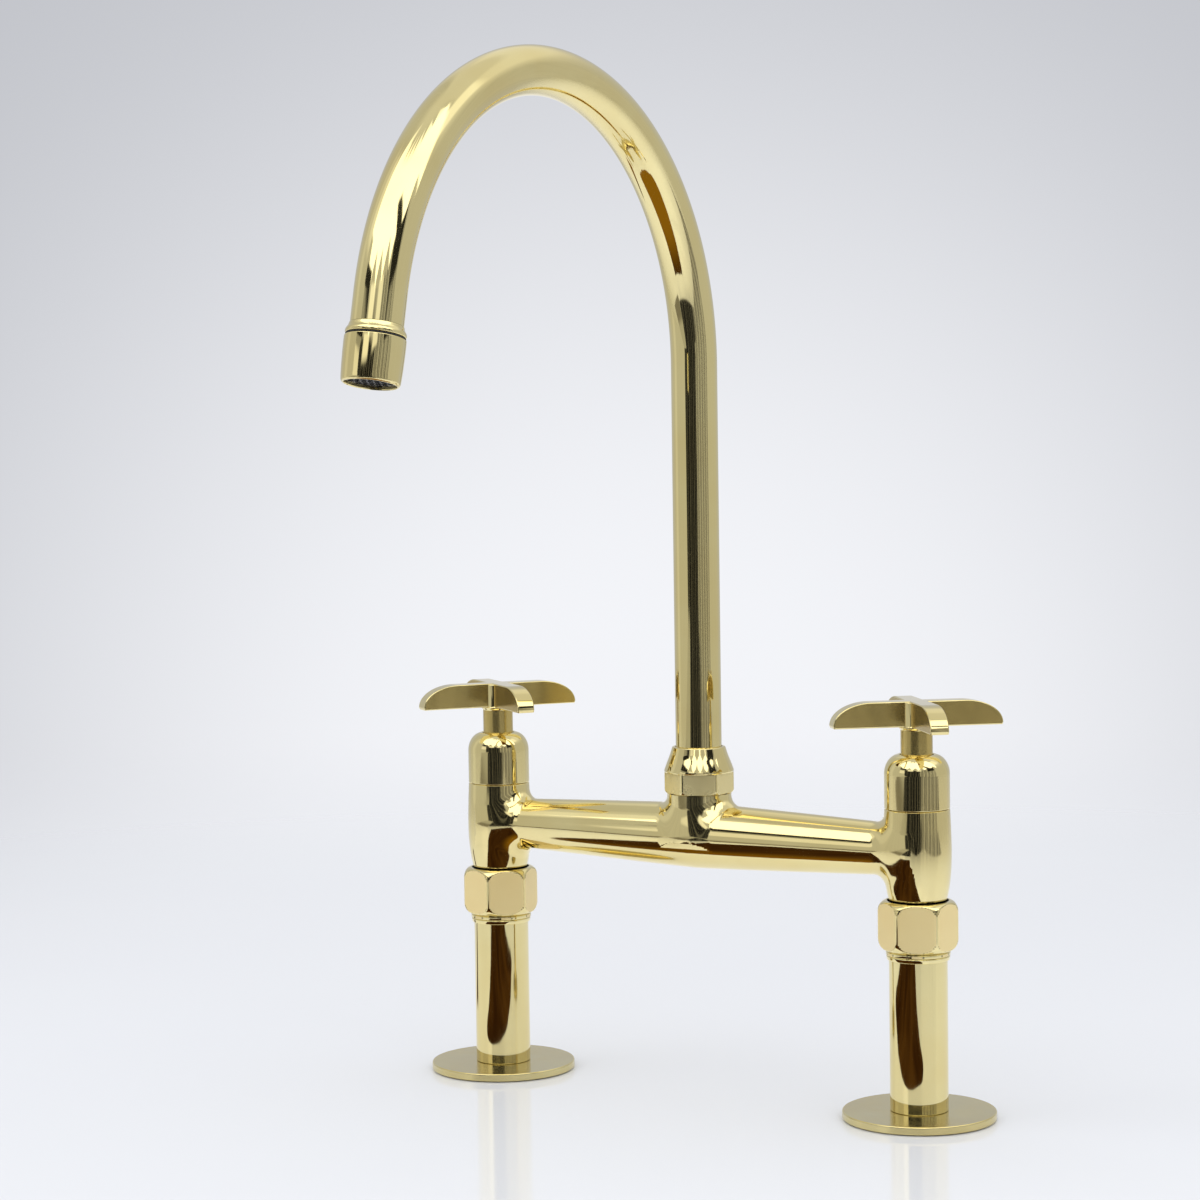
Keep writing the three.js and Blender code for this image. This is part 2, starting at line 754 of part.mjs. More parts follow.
// The swivel spigot at the foot of the spout: two ring grooves, the collar that the nut holds
// down, and the socket end that the tube is brazed over.
function spoutSpigot() {
  const grooves = RING_GROOVES.flatMap(([low, high]) => [
    [SPIGOT_R, low],
    [GROOVE_R, low],
    [GROOVE_R, high],
    [SPIGOT_R, high],
  ]);
  return turned([
    [SPIGOT_BORE_R, SPIGOT_BOTTOM],
    [SPIGOT_R, SPIGOT_BOTTOM],
    ...grooves,
    [SPIGOT_R, COLLAR[0]],
    [COLLAR_R, COLLAR[0]],
    [COLLAR_R, COLLAR[1]],
    [SOCKET_R, COLLAR[1]],
    [SOCKET_R, SPIGOT_TOP],
    [SPIGOT_BORE_R, SPIGOT_TOP],
  ], INNER_ROUND);
}

function spoutRing([low, high]) {
  const section = 0.72;
  return new THREE.TorusGeometry(GROOVE_R + 0.05 + section, section, 6, INNER_ROUND)
    .translate(0, 0, (low + high) / 2);
}

function thrustRing() {
  const bottom = BOSS_NECK_TOP + SEAT_GAP;
  return ring(COLLAR_R - 0.1, BOSS_BORE_R + 0.1, bottom, COLLAR[0] - SEAT_GAP, INNER_ROUND);
}

function slipRing() {
  return ring(COLLAR_R - 0.1, SPOUT_R + RUNNING_GAP, COLLAR[1] + SEAT_GAP, SLIP_TOP);
}

// The centre line of the spout: a straight riser, the arch, and a short straight tail. A step
// along it is even within the arch, and each straight is a single step.
class SpoutLine extends THREE.Curve {
  constructor(archSteps) {
    super();
    this.archSteps = archSteps;
  }

  getPoint(t, target = new THREE.Vector3()) {
    const step = t * (this.archSteps + 2);
    if (step <= 1) {
      return target.set(0, 0, THREE.MathUtils.lerp(SPOUT_FOOT + SEAT_GAP, ARCH_SPRING, step));
    }
    const turn = (Math.min(step - 1, this.archSteps) / this.archSteps) * ARCH_SWEEP;
    const past = Math.max(step - 1 - this.archSteps, 0) * TAIL_TUBE;
    const y = -ARCH_R + ARCH_R * Math.cos(turn) - past * Math.sin(turn);
    const z = ARCH_SPRING + ARCH_R * Math.sin(turn) + past * Math.cos(turn);
    return target.set(0, y, z);
  }

  getTangent(t, target = new THREE.Vector3()) {
    const step = t * (this.archSteps + 2);
    const turn = (THREE.MathUtils.clamp(step - 1, 0, this.archSteps) / this.archSteps) * ARCH_SWEEP;
    return target.set(0, -Math.sin(turn), Math.cos(turn));
  }

  getPointAt(u, target) {
    return this.getPoint(u, target);
  }

  getTangentAt(u, target) {
    return this.getTangent(u, target);
  }
}

function spoutTube() {
  const archSteps = 22;
  const boreSides = 10;
  const section = shapeOf(polygon(ROUND, SPOUT_R));
  section.holes.push(pathOf(polygon(boreSides, SPOUT_BORE_R)));
  return new THREE.ExtrudeGeometry(section, {
    steps: archSteps + 2,
    extrudePath: new SpoutLine(archSteps),
  });
}

// ---- Outlet: pieces turned about the tail of the spout, measured down from the end of the arch ----

// The adaptor brazed on the tube's end: it flares out to the shell, and carries its thread.
function outletAdaptor() {
  const boreR = 6.8;
  const threadR = 9.85;
  const threadEnd = 21.5;
  const socketEnd = RING_TOP - 8;
  const ringR = OUTLET_R - 0.15;
  return turned([
    [boreR, socketEnd],
    [SOCKET_R, socketEnd],
    [SOCKET_R, RING_TOP],
    [SPOUT_R + 0.15, RING_TOP],
    [10.35, RING_TOP + 1],
    [ringR, RING_FACE - 0.7],
    [ringR, RING_FACE],
    [threadR, RING_FACE],
    [threadR, threadEnd],
    [boreR, threadEnd],
  ]);
}

function outletWasher() {
  return ring(10.9, 10, RING_FACE + SEAT_GAP, SHELL_TOP - SEAT_GAP);
}

// A faintly barrelled shell, rolled in at its mouth.
function aeratorShell() {
  const threadR = 10.05;
  const threadEnd = 22.5;
  const mouthR = 9.6;
  const roll = { centreR: 9.85, centre: 31.6, run: 0.9 };
  return turned([
    [threadR, SHELL_TOP],
    [OUTLET_R, SHELL_TOP],
    [OUTLET_R + 0.12, 22],
    [OUTLET_R, 28],
    [10.85, 31],
    ...arc(roll.centreR, roll.centre, roll.run, SHELL_BOTTOM - roll.centre, 20, 80, 2),
    [mouthR, SHELL_BOTTOM],
    [mouthR, threadEnd],
    [threadR, threadEnd],
  ]);
}

// A round plate with a honeycomb of through holes, `rows` cells out from the middle one.
function honeycomb([bottom, top], { pitch, cellR, rows }) {
  const plateR = 9.3;
  const plate = shapeOf(polygon(ROUND, plateR));
  for (let row = -rows; row <= rows; row += 1) {
    const cells = 2 * rows + 1 - Math.abs(row);
    for (let i = 0; i < cells; i += 1) {
      const x = (i - (cells - 1) / 2) * pitch;
      const y = row * pitch * Math.sin(Math.PI / 3);
      plate.holes.push(pathOf(polygon(4, cellR, Math.PI / 6).map(([dx, dy]) => [x + dx, y + dy])));
    }
  }
  return slab(plate, bottom, top);
}

function aeratorInsert() {
  return honeycomb(INSERT, { pitch: 3.7, cellR: 1.65, rows: 2 });
}

function aeratorScreen() {
  return honeycomb(SCREEN, { pitch: 4.2, cellR: 1.6, rows: 1 });
}

// ---- Assembly ----

function valveSide(prefix, sign, nutTurn, handleTurn) {
  const side = new THREE.Group();
  side.position.x = (sign * VALVE_CENTRES) / 2;

  const nut = solidNode(prefix + "_union_nut", unionNut(), satinBrass());
  nut.rotation.z = THREE.MathUtils.degToRad(nutTurn);

  const turning = new THREE.Group();
  turning.rotation.z = THREE.MathUtils.degToRad(handleTurn);
  turning.add(
    solidNode(prefix + "_handle", handle(), polishedBrass()),
    node(prefix + "_set_screw", setScrew(), zincedSteel()),
  );

  side.add(
    node(prefix + "_flange", flange(), polishedBrass()),
    node(prefix + "_deck_gasket", deckGasket(), blackRubber()),
    node(prefix + "_leg", leg(), polishedBrass()),
    node(prefix + "_shank", shank(), turnedBrass()),
    node(prefix + "_rubber_washer", rubberWasher(), blackRubber()),
    node(prefix + "_steel_washer", steelWasher(), zincedSteel()),
    solidNode(prefix + "_back_nut", backNut(), turnedBrass()),
    nut,
    node(prefix + "_union_clip", unionClip(), stainless()),
    node(prefix + "_union_washer", unionWasher(), redFibre()),
    node(prefix + "_seat_seal", seatSeal(), blackRubber()),
    node(prefix + "_fixed_disc", portedDisc(FIXED_DISC, false), whiteCeramic()),
    node(prefix + "_moving_disc", portedDisc(MOVING_DISC, true), whiteCeramic()),
    solidNode(prefix + "_cartridge_body", cartridgeBody(), turnedBrass()),
    solidNode(prefix + "_cartridge_stem", cartridgeStem(), turnedBrass()),
    node(prefix + "_stem_o_ring", stemRing(), blackRubber()),
    node(prefix + "_stem_clip", stemClip(), stainless()),
    node(prefix + "_bonnet", bonnet(), polishedBrass()),
    turning,
  );
  return side;
}

function spout() {
  const whole = new THREE.Group();
  const outlet = new THREE.Group();
  outlet.position.copy(new SpoutLine(1).getPoint(2 / 3));
  outlet.rotation.x = ARCH_SWEEP;
  outlet.add(
    node("spout_outlet_adaptor", outletAdaptor(), polishedBrass()),
    node("aerator_washer", outletWasher(), blackRubber()),
    node("aerator_shell", aeratorShell(), polishedBrass()),
    node("aerator_screen", aeratorScreen(), stainless()),
    node("aerator_insert", aeratorInsert(), blackPlastic()),
  );
  whole.add(
    node("spout_tube", spoutTube(), polishedBrass()),
    node("spout_spigot", spoutSpigot(), turnedBrass()),
    node("spout_o_ring_lower", spoutRing(RING_GROOVES[0]), blackRubber()),
    node("spout_o_ring_upper", spoutRing(RING_GROOVES[1]), blackRubber()),
    node("spout_thrust_ring", thrustRing(), whiteNylon()),
    node("spout_slip_ring", slipRing(), whiteNylon()),
    solidNode("spout_nut", spoutNut(), polishedBrass()),
    outlet,
  );
  return whole;
}

const faucet = new THREE.Group();
faucet.add(
  bridgeBody(),
  valveSide("left", -1, LEFT_NUT_TURN, LEFT_HANDLE_TURN),
  valveSide("right", 1, RIGHT_NUT_TURN, RIGHT_HANDLE_TURN),
  spout(),
);

export default faucet;
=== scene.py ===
"""A two-handle bridge kitchen faucet in polished brass, and the set that it stands in.

The pieces are modelled in millimetres, about the axis that each was turned on, and then placed in
metres.
"""

import json
import math

import bmesh
import bpy
import numpy as np
from mathutils import Matrix, Vector


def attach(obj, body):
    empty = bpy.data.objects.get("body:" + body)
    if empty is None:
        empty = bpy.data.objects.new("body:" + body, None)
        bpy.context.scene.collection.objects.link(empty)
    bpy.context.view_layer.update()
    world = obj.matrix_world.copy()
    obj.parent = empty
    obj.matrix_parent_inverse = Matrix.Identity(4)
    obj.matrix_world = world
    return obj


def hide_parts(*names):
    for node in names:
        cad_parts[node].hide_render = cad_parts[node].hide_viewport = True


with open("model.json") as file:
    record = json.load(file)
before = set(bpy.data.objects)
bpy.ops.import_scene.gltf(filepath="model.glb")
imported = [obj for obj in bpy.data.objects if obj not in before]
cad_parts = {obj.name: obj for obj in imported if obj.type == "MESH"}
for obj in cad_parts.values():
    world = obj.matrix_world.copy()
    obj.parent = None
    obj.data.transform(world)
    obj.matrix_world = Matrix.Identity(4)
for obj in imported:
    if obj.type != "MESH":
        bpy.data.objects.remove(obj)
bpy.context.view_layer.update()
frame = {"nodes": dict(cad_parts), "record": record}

# ---- Driving dimensions, in millimetres ----

MM = 0.001
VALVE_X = 101.6  # from the middle to the axis of each valve
WORKTOP = 30
SEAT_GAP = 0.1

FLANGE_R = 31.4
FLANGE_TOP = 3.5
LEG_R = 11.9
LEG_BORE_R = 7.5
LEG_TOP = 77.6
SHANK_R = 10.45
SHANK_BOTTOM = -62
SHANK_TOP = 20.6
THREAD_PITCH = 1.814
THREAD_DEPTH = 0.95
GASKET_R = 29
GASKET_TOP = 1.35
RUBBER_WASHER_R = 22
RUBBER_THICK = 3
STEEL_WASHER_R = 21
STEEL_THICK = 1.8
CLAMP_TOP = -WORKTOP - RUBBER_THICK - SEAT_GAP  # top of the steel washer
BACK_NUT_TOP = CLAMP_TOP - STEEL_THICK - SEAT_GAP

NUT_BOTTOM = 65.4
NUT_HEX_BOTTOM = 69.3
NUT_TOP = 89.5
NUT_FLATS = 28.7
NUT_CORNER_R = 16.3
LEFT_NUT_TURN = 13.2
RIGHT_NUT_TURN = -6.1

BODY_BOTTOM = 88.6
BODY_TOP = 126.8
TAIL_R = 9.55
TAIL_BOTTOM = 79.8
NECK_R = 10.7
NECK_TOP = 134
BRIDGE_HEIGHT = 109.5
BRIDGE_MID_R = 13.8
BRIDGE_END_R = 10.6
BRIDGE_TAPER_END = 90
BRIDGE_TAPER_POWER = 1.15
VALVE_FILLET = 5.5
BOSS_FILLET = 4.9
BOSS_R = 13.6
BOSS_TOP = 127.7
BOSS_NECK_R = 11.6
BOSS_NECK_TOP = 137.6

BONNET_R = 13.3
BONNET_BOTTOM = 127.05
BONNET_SHOULDER = 141
BONNET_TOP = 149
BONNET_MOUTH_R = 6.95

SLEEVE_R = 6.5
SLEEVE_BOTTOM = 144.9
ARM_BOTTOM = 160.3
ARM_HEIGHT = 10.4
ARM_REACH = 35.3
ARM_WIDTH = 7.6
SCREW_HEIGHT = 153.5
SCREW_HOLE_R = 1.7
SCREW_INNER_END = 4.4  # from the axis of the sleeve
LEFT_HANDLE_TURN = 54
RIGHT_HANDLE_TURN = 41

SPOUT_R = 9.7
SPOUT_WALL = 1.2
SPOUT_FOOT = 141.1
ARCH_SPRING = 307.5
ARCH_R = 112.3
ARCH_SWEEP = math.radians(167.5)
TAIL_TUBE = 11.3
OUTLET_R = 11.2

ROUND = 128  # steps round a turned piece that shows
EXTRA_ROUND = 192  # steps round a hexagon or a wide rim
PLAIN_ROUND = 96  # steps round a small or hidden piece
BLANK_ROUND = 64  # steps round what is melted or drilled away
FINE = 6  # steps round a softened corner
SHARP_ANGLE = math.radians(32)  # an edge sharper than this isn't shaded smooth
FIRST_CORNER = -90  # the bearing of a hexagon's first corner, in degrees
MERGE = 1e-4  # points nearer than this are one

# ---- Places: a frame for each axis that pieces are turned about ----


def upright(x, turned_by=0.0):
    return Matrix.Translation((x, 0, 0)) @ Matrix.Rotation(math.radians(turned_by), 4, "Z")


arch_end = Vector((0, -ARCH_R + ARCH_R * math.cos(ARCH_SWEEP),
                   ARCH_SPRING + ARCH_R * math.sin(ARCH_SWEEP)))
outlet_axis = Matrix.Translation(arch_end) @ Matrix.Rotation(ARCH_SWEEP, 4, "X")

# ---- Node trees ----


class Tree:
    """A node tree that is filled one node at a time."""

    def __init__(self, tree):
        self.tree = tree
        tree.nodes.clear()

    def add(self, kind, inputs=None, **settings):
        made = self.tree.nodes.new(kind)
        for name, value in settings.items():
            setattr(made, name, value)
        for name, value in (inputs or {}).items():
            self.plug(made.inputs[name], value)
        return made

    def plug(self, socket, value):
        if isinstance(value, bpy.types.Node):
            value = value.outputs[0]
        if isinstance(value, bpy.types.NodeSocket):
            self.tree.links.new(value, socket)
        else:
            socket.default_value = value

    def math(self, operation, first, second=0.0):
        return self.add("ShaderNodeMath", {0: first, 1: second}, operation=operation)

    def plus(self, first, second):
        return self.math("ADD", first, second)

    def minus(self, first, second):
        return self.math("SUBTRACT", first, second)

    def times(self, first, second):
        return self.math("MULTIPLY", first, second)

    def larger(self, first, second):
        return self.math("MAXIMUM", first, second)

    def swing(self, noise, size):
        """A noise made to swing about zero."""
        return self.times(self.minus(noise, 0.5), size)

    def ramp(self, value, low, high, start=0.0, end=1.0):
        """start below low, end above high, and smooth in between."""
        inputs = {"Value": value, "From Min": low, "From Max": high, "To Min": start, "To Max": end}
        return self.add("ShaderNodeMapRange", inputs, interpolation_type="SMOOTHSTEP", clamp=True)

    def band(self, value, low, high, soft):
        """1 between low and high, 0 outside, with soft edges."""
        rise = self.ramp(value, low - soft, low + soft)
        fall = self.ramp(value, high - soft, high + soft, 1.0, 0.0)
        return self.times(rise, fall)

    def blend(self, share, first, second):
        mix = self.add("ShaderNodeMix", data_type="RGBA")
        self.plug(mix.inputs[0], share)
        self.plug(mix.inputs[6], first)
        self.plug(mix.inputs[7], second)
        return mix.outputs[2]

    def noise(self, vector, scale, detail=2.0, roughness=0.5, distortion=0.0):
        inputs = {"Vector": vector, "Scale": scale, "Detail": detail, "Roughness": roughness,
                  "Distortion": distortion}
        return self.add("ShaderNodeTexNoise", inputs)

    def stretched(self, vector, x, y, z):
        return self.add("ShaderNodeMapping", {"Vector": vector, "Scale": (x, y, z)})

    def bump(self, height, distance, normal=None):
        made = self.add("ShaderNodeBump", {"Height": height, "Distance": distance, "Strength": 1.0})
        if normal is not None:
            self.plug(made.inputs["Normal"], normal)
        return made

    def place(self):
        """The shaded point, in metres."""
        return self.add("ShaderNodeTexCoord").outputs["Object"]

    def underside(self):
        return self.add("ShaderNodeNewGeometry").outputs["Backfacing"]

    def surface(self, shader, output="ShaderNodeOutputMaterial"):
        self.plug(self.add(output).inputs["Surface"], shader)

    def fading_surface(self, shader, gone):
        """The shader where gone is 0, and nothing where it is 1."""
        clear = self.add("ShaderNodeBsdfTransparent")
        self.surface(self.add("ShaderNodeMixShader", {0: gone, 1: shader, 2: clear}))


def material_tree(name):
    material = bpy.data.materials.new(name)
    material.use_nodes = True
    return material, Tree(material.node_tree)


def principled(tree, **inputs):
    named = {name.replace("_", " "): value for name, value in inputs.items()}
    tree.surface(tree.add("ShaderNodeBsdfPrincipled", named))


# ---- Finishes ----

BRASS = (0.86, 0.75, 0.39)
BRASS_DEEP = (0.83, 0.70, 0.34)
BRASS_WORN = (0.79, 0.68, 0.38)
DULL_TINT = (1.1, 1.03, 0.98)  # how brass gone dull differs from clean brass
BROWN_TINT = (1.04, 0.93, 0.66)
# Painted shade where the casting's foot goes into the union nut's mouth: its tone, edge and height.
GAP_SHADE_TONE = (0.02, 0.014, 0.008, 1)
GAP_SHADE_EDGE = 2e-4
GAP_SHADE_LINE = 0.0903  # painted shade of the joint below this height of the casting, in metres


def brass(name, smooth, rough, ripple=0.0, hairline=0.6e-6, grain=(1, 1, 1), scratch=0.0,
          shade=1.0, bare=1.0, tint=(1, 1, 1), painted_shade_below=None):
    """Unlacquered brass. The roughness runs from smooth to rough in soft smears. ripple, hairline
    and scratch are the heights of the hand polishing in metres, and grain stretches the hairlines.
    shade darkens, tint shifts the colour, bare is the share of clean metal in a surface that has
    gone dull, and what is below painted_shade_below is painted dark, as shade in a joint."""
    material, tree = material_tree(name)
    place = tree.place()
    tone = tree.ramp(tree.noise(place, 22, 3, 0.55), 0.35, 0.68)
    clean, deep, worn = ((*(channel * shade * t for channel, t in zip(alloy, tint)), 1)
                         for alloy in (BRASS, BRASS_DEEP, BRASS_WORN))
    colour = tree.blend(tone, clean, deep)
    speck = tree.ramp(tree.noise(place, 420, 4, 0.7), 0.66, 0.8, 0.0, 0.5)
    colour = tree.blend(speck, colour, worn)
    # Painted shade: below this height the colour goes dark, as the joint would be in shadow.
    if painted_shade_below:
        height = tree.add("ShaderNodeSeparateXYZ", {0: place}).outputs["Z"]
        gap_shade = tree.ramp(height, painted_shade_below - GAP_SHADE_EDGE, painted_shade_below, 1.0, 0.0)
        colour = tree.blend(gap_shade, colour, GAP_SHADE_TONE)
    smear = tree.noise(tree.stretched(place, 1, 1, 0.4), 70, 5, 0.62, 0.4)
    sheen = tree.ramp(smear, 0.3, 0.72, smooth, rough)
    fine = tree.noise(tree.stretched(place, *grain), 2600, 2, 0.6)
    normal = tree.bump(fine, hairline)
    if ripple:
        wave = tree.noise(place, 42, 2, 0.4, 0.3)
        normal = tree.bump(wave, ripple, normal)
    if scratch:
        line = tree.noise(tree.stretched(place, 30, 30, 900), 4, 1, 0.5)
        normal = tree.bump(tree.ramp(line, 0.7, 0.74), scratch, normal)
    principled(tree, Base_Color=colour, Metallic=bare, Roughness=sheen, Normal=normal)
    return material


def plain_finish(name, light, dark, smooth, rough, grain_scale, grain_height, metallic=0.0):
    """A plated, moulded or fired surface with a fine grain, between two near tones."""
    material, tree = material_tree(name)
    place = tree.place()
    tone = tree.ramp(tree.noise(place, 60, 4, 0.6), 0.3, 0.7)
    colour = tree.blend(tone, (*light, 1), (*dark, 1))
    sheen = tree.ramp(tree.noise(place, 180, 3, 0.6), 0.3, 0.7, smooth, rough)
    normal = tree.bump(tree.noise(place, grain_scale, 3, 0.6), grain_height)
    principled(tree, Base_Color=colour, Metallic=metallic, Roughness=sheen, Normal=normal)
    return material


polished = brass("polished_brass", 0.035, 0.075, ripple=1.6e-5, grain=(1, 1, 0.15))
# The casting's foot is painted dark as shade in the joint.
cast = brass("polished_casting", 0.04, 0.085, ripple=6e-5, grain=(0.2, 1, 1),
             painted_shade_below=GAP_SHADE_LINE)
satin = brass("satin_brass", 0.36, 0.46, ripple=2e-5, hairline=2.4e-6, grain=(1, 1, 0.06),
              scratch=4e-6, shade=0.89, bare=0.4, tint=DULL_TINT)
brushed = brass("brushed_brass", 0.14, 0.24, hairline=2e-6, grain=(0.3, 0.3, 1), scratch=1e-6,
                shade=0.66, bare=0.9, tint=BROWN_TINT)
plate = brass("brushed_plate", 0.15, 0.26, hairline=3e-6, grain=(0.3, 0.3, 1), scratch=2e-6,
              shade=0.8)
band_brass = brass("spout_nut_band", 0.2, 0.3, hairline=2e-6, grain=(1, 1, 0.1), shade=0.95,
                   bare=0.72)
# Painted reflection: a dark line along the rounded edges of the union nut's flats.
border = brass("worn_border", 0.1, 0.2, shade=0.42)
# Painted shade: near-black brass inside the mouths of the union nuts and bonnets, where the parts
# above go in.
recess_shade = brass("oxidised_brass", 0.45, 0.6, hairline=4e-6, shade=0.06)
turned_metal = brass("turned_brass", 0.24, 0.36, hairline=3e-6, grain=(0.1, 0.1, 4))
zinc = plain_finish("zinced_steel", (0.62, 0.64, 0.67), (0.5, 0.51, 0.5), 0.3, 0.42,
                    900, 4e-6, 1.0)
steel = plain_finish("stainless_steel", (0.66, 0.65, 0.63), (0.58, 0.58, 0.57), 0.22, 0.32,
                     1500, 2e-6, 1.0)
rubber = plain_finish("black_rubber", (0.018, 0.018, 0.019), (0.012, 0.012, 0.012), 0.6, 0.8,
                      700, 1.2e-5)
ceramic = plain_finish("white_ceramic", (0.84, 0.83, 0.79), (0.8, 0.79, 0.75), 0.12, 0.2,
                       1200, 1e-6)
nylon = plain_finish("white_nylon", (0.78, 0.77, 0.71), (0.73, 0.72, 0.66), 0.4, 0.5, 800, 4e-6)
plastic = plain_finish("black_plastic", (0.012, 0.012, 0.013), (0.008, 0.008, 0.009), 0.28, 0.4,
                       1000, 4e-6)
fibre = plain_finish("red_fibre", (0.27, 0.055, 0.035), (0.2, 0.04, 0.026), 0.75, 0.9, 600, 1.5e-5)

# ---- Making pieces ----

bodies = frame["record"]["behaviour"]["bodies"]
body_of = {node: body for body, nodes in bodies.items() for node in nodes}


def turned(profile, steps=ROUND):
    """A mesh turned about Z. The profile is a list of (radius, height) or (radius, height, soft),
    where soft is how far along both edges a corner is rounded. It closes on itself, or runs from
    axis to axis."""
    bm = bmesh.new()
    verts = [bm.verts.new((point[0], 0, point[1])) for point in profile]
    on_axis = profile[0][0] == 0 and profile[-1][0] == 0
    pairs = zip(verts, verts[1:]) if on_axis else zip(verts, verts[1:] + verts[:1])
    for first, second in pairs:
        bm.edges.new((first, second))
    corners = [(vert, point[2]) for vert, point in zip(verts, profile) if len(point) > 2]
    for vert, soft in corners:
        bmesh.ops.bevel(bm, geom=[vert], offset=soft, segments=FINE, profile=0.5,
                        affect="VERTICES", material=-1, clamp_overlap=True)
    bmesh.ops.spin(bm, geom=bm.verts[:] + bm.edges[:], cent=(0, 0, 0), axis=(0, 0, 1),
                   angle=2 * math.pi, steps=steps, use_merge=True)
    close_up(bm)
    return bm


def verts_in(geom):
    return [part for part in geom if isinstance(part, bmesh.types.BMVert)]


def edges_in(geom):
    return [part for part in geom if isinstance(part, bmesh.types.BMEdge)]


def close_up(bm):
    bmesh.ops.remove_doubles(bm, verts=bm.verts, dist=MERGE)
    bmesh.ops.recalc_face_normals(bm, faces=bm.faces)


def arc(centre_x, centre_z, run, rise, start, end, steps=20):
    """Points on an elliptical arc of a profile, angles in degrees."""
    angles = [math.radians(start + (end - start) * i / steps) for i in range(steps + 1)]
    return [(centre_x + run * math.cos(a), centre_z + rise * math.sin(a)) for a in angles]


def prism(outline, low, high):
    """A flat outline in X and Y, drawn up from low to high."""
    bm = bmesh.new()
    face = bm.faces.new([bm.verts.new((x, y, low)) for x, y in outline])
    drawn = bmesh.ops.extrude_face_region(bm, geom=[face])
    bmesh.ops.translate(bm, verts=verts_in(drawn["geom"]), vec=(0, 0, high - low))
    close_up(bm)
    return bm


def bar(radius, low, high, steps=BLANK_ROUND):
    return turned([(0, low), (radius, low), (radius, high), (0, high)], steps)


def moved(bm, matrix):
    bmesh.ops.transform(bm, matrix=matrix, verts=bm.verts)
    return bm


def take_in(bm, part):
    """Adds a second mesh to the first, and frees it."""
    mesh = bpy.data.meshes.new("part")
    part.to_mesh(mesh)
    part.free()
    bm.from_mesh(mesh)


def as_object(bm, name, finishes=()):
    mesh = bpy.data.meshes.new(name)
    bm.to_mesh(mesh)
    bm.free()
    for finish in finishes:
        mesh.materials.append(finish)
    made = bpy.data.objects.new(name, mesh)
    bpy.context.scene.collection.objects.link(made)
    return made


def applied(made):
    """The object's mesh with its modifiers applied, as a bmesh. The object is removed."""
    bpy.context.view_layer.update()
    graph = bpy.context.evaluated_depsgraph_get()
    bm = bmesh.new()
    bm.from_object(made, graph)
    bpy.data.objects.remove(made)
    return bm


def combine(base, tools, operation):
    """Joins tools to base or cuts them from it. operation is UNION or DIFFERENCE."""
    whole = as_object(base, "work", (polished, satin))
    cutters = [as_object(tool, "tool", (polished, satin)) for tool in tools]
    for cutter in cutters:
        step = whole.modifiers.new("step", "BOOLEAN")
        step.operation = operation
        step.solver = "EXACT"
        step.object = cutter
    bm = applied(whole)
    for cutter in cutters:
        bpy.data.objects.remove(cutter)
    bmesh.ops.remove_doubles(bm, verts=bm.verts, dist=MERGE)
    return bm


def cut_level(bm, geom, at, up):
    """Cuts the geometry level at a point, drops what is above or below, and returns the new rim."""
    cut = bmesh.ops.bisect_plane(bm, geom=geom, plane_co=at, plane_no=(0, 0, 1 if up else -1),
                                 clear_outer=True, dist=1e-5)
    return edges_in(cut["geom_cut"])


def finish_piece(bm, node, finishes, place=Matrix.Identity(4), weighted=True):
    """Puts a finished mesh in its place, gives it its finishes, and lets it stand for its solid."""
    bmesh.ops.transform(bm, matrix=Matrix.Scale(MM, 4) @ place, verts=bm.verts)
    made = as_object(bm, node + "_finished", finishes)
    made.data.shade_smooth()
    made.data.set_sharp_from_angle(angle=SHARP_ANGLE)
    if weighted:
        even = made.modifiers.new("even_flats", "WEIGHTED_NORMAL")
        even.keep_sharp = True
        even.weight = 60
    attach(made, body_of[node])
    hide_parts(node)
    return made


# ---- Bridge casting ----


def bridge_radius(x):
    along = np.minimum(np.abs(x) / BRIDGE_TAPER_END, 1)
    return BRIDGE_END_R + (BRIDGE_MID_R - BRIDGE_END_R) * (1 - along**BRIDGE_TAPER_POWER)


# The valve body's side: it swells at the bridge and draws in towards both ends.
side_heights = [89.3, 94.3, 99, 107, 114, 120.5, 126.8]
side_radii = [11.7, 12.7, 13.45, 13.82, 13.8, 13.6, 13.3]
valve_side = np.poly1d(np.polyfit(side_heights, side_radii, 4))


def rounded_union(first, second, ball):
    """Depth outside two shapes whose corner is filled by a rolled ball."""
    near = np.hypot(np.maximum(ball - first, 0), np.maximum(ball - second, 0))
    return np.maximum(ball, np.minimum(first, second)) - near


def casting_depth(points):
    """How far each point lies outside the casting's skin."""
    x, y, z = points.T
    outside_bar = np.hypot(y, z - BRIDGE_HEIGHT) - bridge_radius(x)
    along_bridge = np.maximum(outside_bar, np.abs(x) - VALVE_X)
    boss = np.maximum(np.hypot(x, y) - BOSS_R, BRIDGE_HEIGHT - z)
    skin = rounded_union(along_bridge, boss, BOSS_FILLET)
    for side in (-1, 1):
        valve = np.hypot(x - side * VALVE_X, y) - valve_side(z)
        skin = rounded_union(skin, valve, VALVE_FILLET)
    return skin


def casting_slope(points):
    step = 0.01
    offsets = np.eye(3) * step
    rises = [casting_depth(points + o) - casting_depth(points - o) for o in offsets]
    return np.stack(rises, axis=1) / (2 * step)


